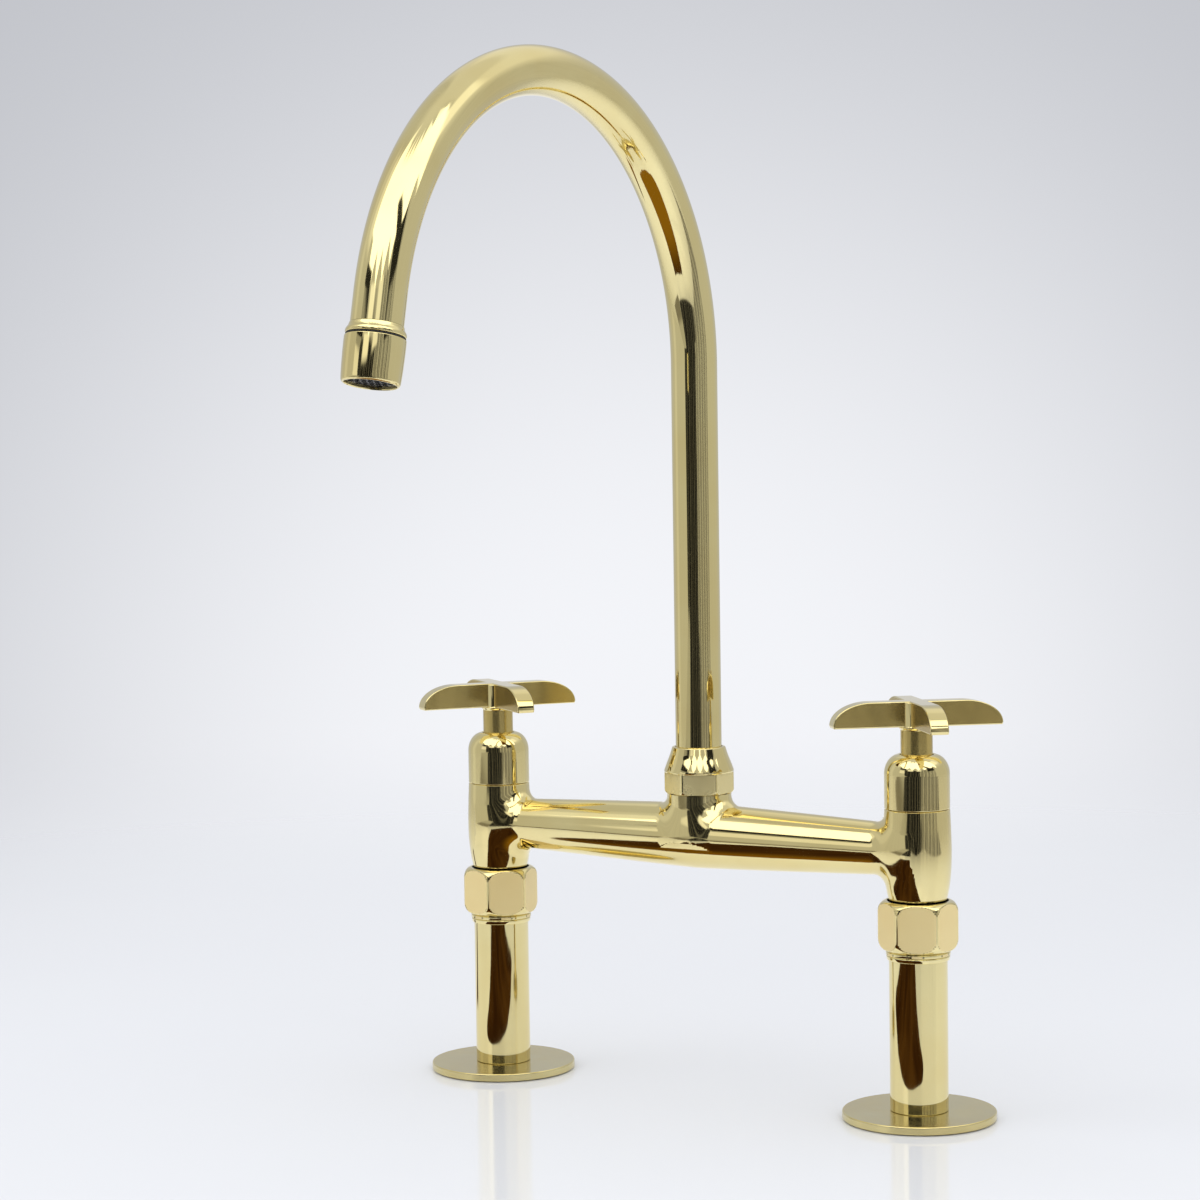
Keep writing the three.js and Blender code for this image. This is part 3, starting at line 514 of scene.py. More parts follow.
def casting_blank():
    """The bridge, boss and valve bodies melted into one even mesh, a little longer than they end
    up."""
    over = 4
    stations = [-100, -60, -30, 0, 30, 60, 100]
    bridge = [(float(bridge_radius(x)), x) for x in stations]
    bridge = [(0, stations[0]), *bridge, (0, stations[-1])]
    lying = Matrix.Translation((0, 0, BRIDGE_HEIGHT)) @ Matrix.Rotation(math.pi / 2, 4, "Y")
    heights = np.linspace(BODY_BOTTOM - over, BODY_TOP + over, 14)
    side = [(0, heights[0])] + [(float(valve_side(z)), z) for z in heights] + [(0, heights[-1])]
    valves = [moved(turned(side, BLANK_ROUND), upright(s * VALVE_X)) for s in (-1, 1)]
    boss = bar(BOSS_R, BRIDGE_HEIGHT, BOSS_TOP + over)
    bm = bmesh.new()
    for part in (moved(turned(bridge, BLANK_ROUND), lying), boss, *valves):
        take_in(bm, part)
    whole = as_object(bm, "blank")
    melt = whole.modifiers.new("melt", "REMESH")
    melt.mode = "VOXEL"
    melt.voxel_size = 0.7
    return applied(whole)


def to_skin(bm):
    """Draws every point of the mesh onto the casting's true skin."""
    rounds = 6
    least_slope = 0.2
    points = np.array([v.co for v in bm.verts])
    for _ in range(rounds):
        slope = casting_slope(points)
        steepness = np.maximum((slope**2).sum(1), least_slope)
        points -= slope * (casting_depth(points) / steepness)[:, None]
    for vert, point in zip(bm.verts, points):
        vert.co = point


def cut_end(bm, x, height, up):
    """Cuts the upright end at x square, and returns its flat face."""
    reach = 17
    near = [v for v in bm.verts if math.hypot(v.co.x - x, v.co.y) < reach]
    faces = {f for v in near for f in v.link_faces}
    edges = {e for f in faces for e in f.edges}
    verts = {v for f in faces for v in f.verts}
    rim = cut_level(bm, [*faces, *edges, *verts], (x, 0, height), up)
    for edge in rim:
        for vert in edge.verts:
            vert.co.z = height
    return bmesh.ops.holes_fill(bm, edges=rim, sides=0)["faces"][0]


def inset_face(bm, face, x, radius, border):
    """Insets a round end face to radius."""
    bmesh.ops.inset_region(bm, faces=[face], thickness=border, use_even_offset=True)
    for vert in face.verts:
        out = Vector((vert.co.x - x, vert.co.y)).normalized() * radius
        vert.co.x = x + out.x
        vert.co.y = out.y


def step_face(bm, face, x, radius, height):
    """Insets a round end face, and draws it up or down to height."""
    inset_face(bm, face, x, radius, 0.5)
    if abs(height - face.verts[0].co.z) < 1e-6:
        return face
    drawn = bmesh.ops.extrude_face_region(bm, geom=[face])["geom"]
    top = next(part for part in drawn if isinstance(part, bmesh.types.BMFace))
    for vert in top.verts:
        vert.co.z = height
    bmesh.ops.delete(bm, geom=[face], context="FACES_ONLY")
    return top


def bevel_face(bm, face, x, radius, height):
    """Insets a round end face and lifts it to height, which leaves a bevel round it."""
    inset_face(bm, face, x, radius, 0.2)
    for vert in face.verts:
        vert.co.z = height


def set_casting_normals(mesh):
    """Shades what lies on the casting's skin by the skin's own slope, and the rest flat."""
    near_skin = 0.02
    least_facing = 0.9
    points = np.array([v.co for v in mesh.vertices]) / MM
    slopes = casting_slope(points)
    slopes /= np.linalg.norm(slopes, axis=1)[:, None]
    on_skin = np.abs(casting_depth(points)) < near_skin
    corner_verts = np.array([loop.vertex_index for loop in mesh.loops])
    flats = np.array([face.normal for face in mesh.polygons for _ in face.vertices])
    round_ones = slopes[corner_verts]
    smooth = on_skin[corner_verts] & ((round_ones * flats).sum(1) > least_facing)
    mesh.normals_split_custom_set(np.where(smooth[:, None], round_ones, flats).tolist())


def bridge_casting():
    """The casting, with a socket for the spout in its boss, and in each valve body a chamber for
    the cartridge above and a grooved tail with its waterway below."""
    bevel = 0.3
    spigot_r, spigot_floor = 9.3, 118
    chamber_r, chamber_step, chamber_floor = 9, 122.5, 103
    groove_r, groove_top, groove_bottom = 8.5, 84, 82
    water_r, water_top = 6.5, 95
    bm = casting_blank()
    for _ in range(3):
        bmesh.ops.smooth_vert(bm, verts=bm.verts, factor=0.5, use_axis_x=True, use_axis_y=True,
                              use_axis_z=True)
    to_skin(bm)
    ends = [(-VALVE_X, BODY_TOP, True), (VALVE_X, BODY_TOP, True), (0, BOSS_TOP, True),
            (-VALVE_X, BODY_BOTTOM, False), (VALVE_X, BODY_BOTTOM, False)]
    for x, height, up in ends:
        is_valve_top = up and x != 0
        face = cut_end(bm, x, height - bevel if is_valve_top else height, up)
        if is_valve_top:
            bevel_face(bm, face, x, BONNET_R - bevel, height)
        if x == 0:
            steps = [(BOSS_NECK_R, BOSS_NECK_TOP), (spigot_r, spigot_floor)]
        elif up:
            steps = [(NECK_R, NECK_TOP), (chamber_r, chamber_step), (chamber_r, chamber_floor)]
        else:
            steps = [(TAIL_R, groove_top), (groove_r, groove_top), (groove_r, groove_bottom),
                     (TAIL_R, groove_bottom), (TAIL_R, TAIL_BOTTOM), (water_r, water_top)]
        for radius, level in steps:
            face = step_face(bm, face, x, radius, level)
    bmesh.ops.recalc_face_normals(bm, faces=bm.faces)
    made = finish_piece(bm, "bridge_body", (cast,), weighted=False)
    set_casting_normals(made.data)


# ---- Hexagons ----


def hexed(bm, across_flats, low, high, soft):
    """Pulls a turned mesh in to a hexagon between two heights, with soft corners and borders."""
    half = across_flats / 2
    for vert in bm.verts:
        radius = math.hypot(vert.co.x, vert.co.y)
        if radius < half * 0.8 or not low <= vert.co.z <= high:
            continue
        angle = math.degrees(math.atan2(vert.co.y, vert.co.x)) - FIRST_CORNER
        from_flat = math.radians(angle % 60 - 30)
        flat_r = half / math.cos(from_flat)
        share = min(max(0.5 + 0.5 * (flat_r - radius) / soft, 0), 1)
        drawn = flat_r * (1 - share) + radius * share - soft * share * (1 - share)
        vert.co.x *= drawn / radius
        vert.co.y *= drawn / radius


def satin_flats(bm, flat, border_index=None, inner_r=13):
    """Gives the flats of a hexagon one finish, and the thin border where they start to round
    another, which paints there a dark reflection along the rounding."""
    flat_edge = 9
    border_edge = 13
    bm.normal_update()
    for face in bm.faces:
        middle = face.calc_center_median()
        if math.hypot(middle.x, middle.y) < inner_r:
            continue
        angle = math.degrees(math.atan2(face.normal.y, face.normal.x)) - FIRST_CORNER
        tilt = math.degrees(math.asin(min(abs(face.normal.z), 1)))
        off = math.hypot(abs(angle % 60 - 30), tilt)
        if off < flat_edge:
            face.material_index = flat
        elif off < border_edge and border_index is not None:
            face.material_index = border_index


def mark(bm, index, reach, low, high):
    """Gives the faces nearer the axis than reach, between two heights, the finish of that index."""
    for face in bm.faces:
        middle = face.calc_center_median()
        if low < middle.z < high and math.hypot(middle.x, middle.y) < reach:
            face.material_index = index


# ---- Legs and clamps ----


def flange():
    hole_r = SHANK_R + 0.45
    recess_r = 29.3
    recess_top = 1.45
    lift = 0.3
    bm = turned([
        (hole_r, recess_top),
        (recess_r, recess_top),
        (recess_r, lift),
        (FLANGE_R, lift, 0.4),
        (FLANGE_R, FLANGE_TOP, 0.55),
        (hole_r, FLANGE_TOP),
    ], EXTRA_ROUND)
    bm.normal_update()
    for face in bm.faces:
        if face.normal.z > 0.99 or math.hypot(*face.calc_center_median().xy) > FLANGE_R - 0.1:
            face.material_index = 1
    return bm


def leg():
    socket_r = SHANK_R + 0.2
    foot = FLANGE_TOP + SEAT_GAP
    return turned([
        (socket_r, foot),
        (LEG_R, foot, 0.25),
        (LEG_R, LEG_TOP, 0.6),
        (LEG_BORE_R, LEG_TOP, 0.3),
        (LEG_BORE_R, SHANK_TOP + SEAT_GAP),
        (socket_r, SHANK_TOP + SEAT_GAP),
    ])


def shank():
    """The threaded tail: one turn of the thread's form, repeated up the shank and cut square at
    both ends."""
    steps = 48
    past = 2
    turns = math.ceil((SHANK_TOP - SHANK_BOTTOM) / THREAD_PITCH) + 3
    start = SHANK_BOTTOM - 1.5 * THREAD_PITCH
    root = SHANK_R - THREAD_DEPTH
    form = [(root, 0), (root, 0.1), (SHANK_R, 0.42), (SHANK_R, 0.58), (root, 0.9), (root, 1)]
    bm = bmesh.new()
    verts = [bm.verts.new((r, 0, start + share * THREAD_PITCH)) for r, share in form]
    edges = [bm.edges.new(pair) for pair in zip(verts, verts[1:])]
    bmesh.ops.spin(bm, geom=verts + edges, cent=(0, 0, 0), axis=(0, 0, 1),
                   dvec=(0, 0, THREAD_PITCH / steps), angle=2 * math.pi, steps=steps)
    one_turn = bm.verts[:] + bm.edges[:] + bm.faces[:]
    for turn in range(1, turns):
        copied = bmesh.ops.duplicate(bm, geom=one_turn)["geom"]
        bmesh.ops.translate(bm, verts=verts_in(copied), vec=(0, 0, turn * THREAD_PITCH))
    bmesh.ops.remove_doubles(bm, verts=bm.verts, dist=1e-3)
    for height, up in ((SHANK_BOTTOM, False), (SHANK_TOP, True)):
        rim = cut_level(bm, bm.verts[:] + bm.edges[:] + bm.faces[:], (0, 0, height), up)
        bmesh.ops.holes_fill(bm, edges=rim, sides=0)
    bmesh.ops.recalc_face_normals(bm, faces=bm.faces)
    return combine(bm, [bar(LEG_BORE_R, SHANK_BOTTOM - past, SHANK_TOP + past)], "DIFFERENCE")


def washer(outer_r, inner_r, low, high, soft):
    return turned([
        (inner_r, low, soft),
        (outer_r, low, soft),
        (outer_r, high, soft),
        (inner_r, high, soft),
    ], PLAIN_ROUND)


def back_nut():
    flats = 30
    thick = 8
    low = BACK_NUT_TOP - thick
    corner_r = flats / math.sqrt(3)
    face_r = flats / 2 + 0.2
    chamfer = 1.4
    bore_r = SHANK_R + 0.2
    rows = [low + chamfer + (thick - 2 * chamfer) * i / 8 for i in range(9)]
    bm = turned([
        (bore_r, low, 0.4),
        (face_r, low),
        *[(corner_r, z) for z in rows],
        (face_r, BACK_NUT_TOP),
        (bore_r, BACK_NUT_TOP, 0.4),
    ], 144)
    hexed(bm, flats, low - 1, BACK_NUT_TOP + 1, 0.35)
    return bm


def union_nut():
    """A hexagon with its ends rounded like a barrel, over a short round skirt with two fine
    ledges."""
    run = 3.4
    rise = 4.6
    barrel_r = NUT_CORNER_R - run
    span = NUT_TOP - NUT_HEX_BOTTOM - 2 * rise
    middle = [(NUT_CORNER_R, NUT_HEX_BOTTOM + rise + span * i / 10) for i in range(1, 10)]
    skirt_r = 13.1
    mouth_r = 12.3
    mouth_floor = 87.4
    tail_hole_r = 9.8
    thread_r = LEG_R + 0.2
    thread_top = 84
    bm = turned([
        (thread_r, NUT_BOTTOM, 0.15),
        (LEG_R + 0.8, NUT_BOTTOM, 0.25),
        (12.95, 66.9, 0.15),
        (12.7, 67.2),
        (skirt_r, 67.6, 0.1),
        (skirt_r, 68.6, 0.1),
        (12.8, 69.0),
        *arc(barrel_r, NUT_HEX_BOTTOM + rise, run, rise, -84, 0, 16),
        *middle,
        *arc(barrel_r, NUT_TOP - rise, run, rise, 0, 86, 16),
        (mouth_r, NUT_TOP, 0.3),
        (mouth_r - 0.4, mouth_floor),
        (tail_hole_r, mouth_floor),
        (tail_hole_r, thread_top),
        (thread_r, thread_top),
    ], EXTRA_ROUND)
    hexed(bm, NUT_FLATS, NUT_HEX_BOTTOM - 0.2, NUT_TOP + 1, 0.4)
    # Index 3 paints a dark reflection along the flats' rounded edges.
    satin_flats(bm, 1, 3)
    # Painted shade in the nut's mouth, round the casting's foot.
    mark(bm, 2, mouth_r + 0.45, 86, NUT_TOP + 0.1)
    return bm


# ---- Bonnet and cross handle ----


def bonnet():
    thread_r = NECK_R + 0.2
    thread_top = 137.35
    stem_hole_r = 7.4
    shoulder_r = 6.4
    rise = BONNET_TOP - BONNET_SHOULDER
    mouth_bottom = 145.6
    bm = turned([
        (thread_r, BONNET_BOTTOM),
        (BONNET_R, BONNET_BOTTOM, 0.3),
        (BONNET_R, BONNET_SHOULDER - 2),
        *arc(BONNET_R - shoulder_r, BONNET_SHOULDER, shoulder_r, rise, 0, 84, 28),
        (BONNET_MOUTH_R, BONNET_TOP - 0.35),
        (BONNET_MOUTH_R, mouth_bottom),
        (stem_hole_r, mouth_bottom),
        (stem_hole_r, thread_top),
        (thread_r, thread_top),
    ])
    # Painted shade in the mouth round the sleeve.
    mark(bm, 1, BONNET_MOUTH_R + 0.1, mouth_bottom - 0.1, BONNET_TOP - 0.1)
    return bm


def strap():
    """One strap through the hub, flat underneath, each tip rolled down in a quarter ellipse."""
    run = 16
    rise = 8.7
    foot = 0.9
    undercut = 0.4
    right = arc(ARM_REACH - run, foot, run, rise, 0, 90, 26)
    crown = [(x, z + (ARM_HEIGHT - foot - rise) * (z - foot) / rise) for x, z in right]
    left = [(-x, z) for x, z in reversed(crown)]
    under = ARM_REACH - undercut
    outline = [(under, 0), *crown, *left, (-under, 0)]
    bm = prism(outline, -ARM_WIDTH / 2, ARM_WIDTH / 2)
    bm.normal_update()
    for face in bm.faces:
        if abs(face.normal.z) > 0.99:
            face.material_index = 1
    rims = [e for e in bm.edges if any(f.material_index for f in e.link_faces)]
    bmesh.ops.bevel(bm, geom=rims, offset=0.5, segments=4, profile=0.5, affect="EDGES", material=0,
                    clamp_overlap=True)
    on_edge = Matrix.Rotation(math.pi / 2, 4, "X")
    return moved(bm, Matrix.Translation((0, 0, ARM_BOTTOM)) @ on_edge)


def handle():
    """A socketed sleeve that carries two straps crossed through its hub."""
    socket_r = 4.3
    socket_top = 159.6
    hub_r = SLEEVE_R + 0.4
    hub_top = ARM_BOTTOM + ARM_HEIGHT - 0.3
    hub = turned([
        (socket_r, SLEEVE_BOTTOM),
        (SLEEVE_R, SLEEVE_BOTTOM, 0.3),
        (SLEEVE_R, ARM_BOTTOM - 1.3, 0.3),
        (hub_r + 0.5, ARM_BOTTOM - 0.25, 0.3),
        (hub_r, ARM_BOTTOM + 0.6),
        (hub_r, hub_top, 0.6),
        (0, hub_top),
        (0, socket_top),
        (socket_r, socket_top),
    ], PLAIN_ROUND)
    across = moved(strap(), Matrix.Rotation(math.pi / 2, 4, "Z"))
    crossed = combine(strap(), [across, hub], "UNION")
    whole = combine(crossed, [moved(bar(SCREW_HOLE_R, 0, 12, 32), screw_axis(0))], "DIFFERENCE")
    mark(whole, 1, SLEEVE_R + 0.1, SLEEVE_BOTTOM + 0.5, ARM_BOTTOM - 1.4)
    return whole


def screw_axis(out):
    """Along the grub screw, towards the back, from that far out of the sleeve's axis."""
    return Matrix.Translation((0, out, SCREW_HEIGHT)) @ Matrix.Rotation(-math.pi / 2, 4, "X")


def set_screw():
    """The grub screw in the back of the sleeve, with its hexagon socket outwards."""
    length = 1.9
    screw_r = 1.5
    socket_r = 0.8
    socket_floor = 0.7
    blank = turned([(0, 0), (screw_r, 0, 0.2), (screw_r, length, 0.2), (0, length)], 48)
    corners = [math.radians(60 * i) for i in range(6)]
    outline = [(socket_r * math.cos(a), socket_r * math.sin(a)) for a in corners]
    cut = combine(blank, [prism(outline, socket_floor, length + 1)], "DIFFERENCE")
    return moved(cut, screw_axis(SCREW_INNER_END))


# ---- Spout ----


def spout_nut():
    """A hexagon band under a round cone, as one nut."""
    low = BOSS_TOP + 0.25
    hex_top = 136.6
    top = 147.6
    corner_r = 14.7
    lip_r = SPOUT_R + 0.25
    thread_r = BOSS_NECK_R + 0.25
    thread_top = 142
    rows = [low + 0.8 + (hex_top - low - 0.9) * i / 12 for i in range(13)]
    bm = turned([
        (thread_r, low),
        (corner_r - 0.6, low, 0.3),
        *[(corner_r, z) for z in rows],
        (corner_r - 0.2, hex_top + 0.15),
        (corner_r + 0.02, hex_top + 0.5, 0.1),
        (corner_r - 0.05, hex_top + 1.1),
        (13.75, 140.2, 1.2),
        (12.35, 143.6, 1.2),
        (11.2, top - 0.3, 0.25),
        (lip_r, top, 0.25),
        (lip_r, thread_top),
        (thread_r, thread_top),
    ], EXTRA_ROUND)
    hexed(bm, corner_r * math.sqrt(3) + 0.1, low - 1, hex_top + 0.05, 0.5)
    satin_flats(bm, 1, inner_r=12.5)
    return bm


def spout_tube():
    """The riser, the arch and the short straight tail, bent from one tube."""
    bm = bmesh.new()
    rim = bmesh.ops.create_circle(bm, segments=ROUND, radius=SPOUT_R)["verts"]
    bmesh.ops.translate(bm, verts=rim, vec=(0, 0, SPOUT_FOOT))
    ring = list({e for v in rim for e in v.link_edges})
    for height in (SPOUT_FOOT + 0.4, 180, 220, 260, ARCH_SPRING - 0.5, ARCH_SPRING):
        drawn = bmesh.ops.extrude_edge_only(bm, edges=ring)["geom"]
        rim, ring = verts_in(drawn), edges_in(drawn)
        for vert in rim:
            vert.co.z = height
    wound = bmesh.ops.spin(bm, geom=rim + ring, cent=(0, -ARCH_R, ARCH_SPRING), axis=(1, 0, 0),
                           angle=ARCH_SWEEP, steps=220)["geom_last"]
    ring = edges_in(wound)
    down = outlet_axis.to_3x3() @ Vector((0, 0, 1))
    for length in (0.5, TAIL_TUBE - 0.9, 0.4):
        drawn = bmesh.ops.extrude_edge_only(bm, edges=ring)["geom"]
        ring = edges_in(drawn)
        bmesh.ops.translate(bm, verts=verts_in(drawn), vec=down * length)
    close_up(bm)
    bmesh.ops.solidify(bm, geom=bm.faces[:], thickness=SPOUT_WALL)
    return bm


def outlet_adaptor():
    """The flared ring brazed on the tube's end, with the thread of the aerator below."""
    top = TAIL_TUBE + SEAT_GAP
    face = 15.3
    end = 21.5
    bore_r = 6.8
    ring_r = OUTLET_R - 0.1
    socket_r = 7.85
    thread_r = 9.85
    return turned([
        (bore_r, top - 8),
        (socket_r, top - 8),
        (socket_r, top),
        (SPOUT_R + 0.2, top, 0.12),
        (SPOUT_R + 0.55, top + 1.3, 0.5),
        (ring_r, top + 2.6, 0.5),
        (ring_r, face, 0.5),
        (thread_r, face),
        (thread_r, end),
        (bore_r, end),
    ])


def aerator_shell():
    """A faintly barrelled shell, rolled in at its mouth."""
    top = 16.05
    thread_r = 10.05
    thread_end = 22.5
    roll_r = 9.85
    roll = 31.6
    mouth_r = 9.5
    return turned([
        (thread_r, top),
        (OUTLET_R, top, 0.35),
        (OUTLET_R + 0.06, 18.5),
        (OUTLET_R + 0.02, 22),
        (OUTLET_R - 0.12, 27),
        (10.9, 30.6, 0.6),
        *arc(roll_r, roll, 0.95, 33 - roll, 10, 100, 12),
        (mouth_r, 32.6, 0.2),
        (mouth_r, thread_end),
        (thread_r, thread_end),
    ])


def honeycomb(low, high, pitch, cell_r, rows):
    """A round plate with a honeycomb of through holes, rows cells out from the middle one."""
    plate_r = 9.3
    rim = 0.3
    corners = [math.radians(60 * k + 30) for k in range(6)]
    drills = bmesh.new()
    for row in range(-rows, rows + 1):
        count = 2 * rows + 1 - abs(row)
        for i in range(count):
            x = (i - (count - 1) / 2) * pitch
            y = row * pitch * math.sin(math.pi / 3)
            if math.hypot(x, y) > plate_r - cell_r - rim:
                continue
            outline = [(x + cell_r * math.cos(a), y + cell_r * math.sin(a)) for a in corners]
            take_in(drills, prism(outline, low - 1, high + 1))
    plate_profile = [(0, low), (plate_r, low, 0.2), (plate_r, high, 0.2), (0, high)]
    return combine(turned(plate_profile, PLAIN_ROUND), [drills], "DIFFERENCE")


# ---- Assembly ----

bridge_casting()
for prefix, side, nut_turn, handle_turn in (("left_", -1, LEFT_NUT_TURN, LEFT_HANDLE_TURN),
                                            ("right_", 1, RIGHT_NUT_TURN, RIGHT_HANDLE_TURN)):
    axis = upright(side * VALVE_X)
    handle_axis = upright(side * VALVE_X, handle_turn)
    nut_axis = upright(side * VALVE_X, nut_turn)
    hole_r = SHANK_R + 0.3
    for bm, kind, slot, finishes, place in (
        (flange(), "flange", "polished_brass", (polished, plate), axis),
        (washer(GASKET_R, 12, 0, GASKET_TOP, 0.2), "deck_gasket", "black_rubber", (rubber,), axis),
        (leg(), "leg", "polished_brass", (polished,), axis),
        (shank(), "shank", "turned_brass", (turned_metal,), axis),
        (washer(RUBBER_WASHER_R, hole_r, -WORKTOP - RUBBER_THICK, -WORKTOP, 0.4), "rubber_washer",
         "black_rubber", (rubber,), axis),
        (washer(STEEL_WASHER_R, hole_r, CLAMP_TOP - STEEL_THICK, CLAMP_TOP, 0.2), "steel_washer",
         "zinced_steel", (zinc,), axis),
        (back_nut(), "back_nut", "turned_brass", (turned_metal,), axis),
        (union_nut(), "union_nut", "satin_brass", (polished, satin, recess_shade, border), nut_axis),
        (bonnet(), "bonnet", "polished_brass", (polished, recess_shade), axis),
        (handle(), "handle", "polished_brass", (polished, brushed), handle_axis),
        (set_screw(), "set_screw", "zinced_steel", (zinc,), handle_axis),
    ):
        finish_piece(bm, prefix + kind, finishes, place)

finish_piece(spout_tube(), "spout_tube", (polished,), weighted=False)
finish_piece(spout_nut(), "spout_nut", (polished, band_brass))
finish_piece(outlet_adaptor(), "spout_outlet_adaptor", (polished,), outlet_axis)
finish_piece(washer(10.9, 10, 15.4, 15.95, 0.1), "aerator_washer", (rubber,),
             outlet_axis)
finish_piece(aerator_shell(), "aerator_shell", (polished,), outlet_axis)
insert = honeycomb(24.6, 31.9, pitch=2.75, cell_r=1.38, rows=3)
finish_piece(insert, "aerator_insert", (plastic,), outlet_axis)
screen = honeycomb(23.9, 24.4, pitch=1.7, cell_r=0.75, rows=5)
finish_piece(screen, "aerator_screen", (steel,), outlet_axis)

# The pieces that the shells hide keep their solids, each in its own finish.
HIDDEN_FINISHES = {
    "union_clip": steel, "stem_clip": steel, "union_washer": fibre, "seat_seal": rubber,
    "stem_o_ring": rubber, "fixed_disc": ceramic, "moving_disc": ceramic,
    "cartridge_body": turned_metal, "cartridge_stem": turned_metal, "spout_spigot": turned_metal,
    "spout_o_ring_lower": rubber, "spout_o_ring_upper": rubber, "spout_thrust_ring": nylon,
    "spout_slip_ring": nylon,
}
for name, node in frame["nodes"].items():
    kind = name.split("_", 1)[1] if name.startswith(("left_", "right_")) else name
    if kind in HIDDEN_FINISHES:
        for holder in node.material_slots:
            holder.material = HIDDEN_FINISHES[kind]

# ---- Set: floor, backdrop and studio ----

LAMP_TARGET = Vector((0, 0, 0.1))


def floor():
    """A white glossy table, which fades into the backdrop away from the faucet."""
    radius, fade_start, fade_end = 1.6, 0.3, 1.55
    bm = bmesh.new()
    bmesh.ops.create_circle(bm, segments=96, radius=radius, cap_ends=True)
    bmesh.ops.translate(bm, verts=bm.verts, vec=(0, 0, -0.00015))
    material, tree = material_tree("white_table")
    place = tree.place()
    away = tree.add("ShaderNodeVectorMath", {0: place}, operation="LENGTH").outputs["Value"]
    cloud = tree.ramp(tree.noise(place, 3, 2), 0.3, 0.7)
    grain = tree.noise(place, 500, 2, 0.5)
    table = tree.add("ShaderNodeBsdfPrincipled", {
        "Base Color": tree.blend(cloud, (0.86, 0.87, 0.9, 1), (0.87, 0.88, 0.905, 1)),
        "Roughness": tree.ramp(grain, 0.3, 0.7, 0.07, 0.11),
        "Specular IOR Level": 0.4,
    })
    gone = tree.larger(tree.ramp(away, fade_start, fade_end), tree.underside())
    tree.fading_surface(table, gone)
    made = as_object(bm, "white_table", (material,))


def backdrop():
    """A pale blue-grey backdrop, brightest low in the middle. Diffuse light from it is plain
    white."""
    world = bpy.data.worlds.new("backdrop")
    world.use_nodes = True
    bpy.context.scene.world = world
    tree = Tree(world.node_tree)
    toward = tree.add("ShaderNodeTexCoord").outputs["Generated"]
    glow_centre = (-0.510, 0.851, -0.129)
    off = tree.add("ShaderNodeVectorMath", {0: toward, 1: glow_centre}, operation="DISTANCE")
    shade = tree.ramp(off.outputs["Value"], 0.05, 0.365)
    colour = tree.blend(shade, (0.90, 0.91, 0.945, 1), (0.54, 0.552, 0.59, 1))
    path = tree.add("ShaderNodeLightPath").outputs
    seen = tree.larger(path["Is Camera Ray"], path["Is Glossy Ray"])
    seen = tree.larger(seen, path["Is Transmission Ray"])
    shown = tree.add("ShaderNodeBackground", {"Color": colour, "Strength": 1.0})
    light = tree.add("ShaderNodeBackground", {"Color": (0.93, 0.94, 0.96, 1), "Strength": 1.16})
    mix = tree.add("ShaderNodeMixShader", {0: seen, 1: light, 2: shown})
    tree.surface(mix, "ShaderNodeOutputWorld")


def around_room(tree, place):
    """The node sockets of how far a point is across, forward and up, its azimuth in degrees from
    the front towards the right, and the upright streaks that the things in the room make there."""
    axes = tree.add("ShaderNodeSeparateXYZ", {0: place}).outputs
    forward = tree.times(axes["Y"], -1.0)
    azimuth = tree.math("DEGREES", tree.math("ARCTAN2", axes["X"], forward))
    along = tree.add("ShaderNodeCombineXYZ", {0: tree.times(azimuth, 0.35)})
    return axes["X"], forward, axes["Z"], azimuth, tree.noise(along, 1.0, 3, 0.65)


def room_tones(tree, streak, brightest_dusk):
    """The two dark tones of the room: in its doorway and in its dusky part."""
    return (tree.ramp(streak, 0.48, 0.62, 0.005, 0.16),
            tree.ramp(streak, 0.42, 0.58, 0.08, brightest_dusk))


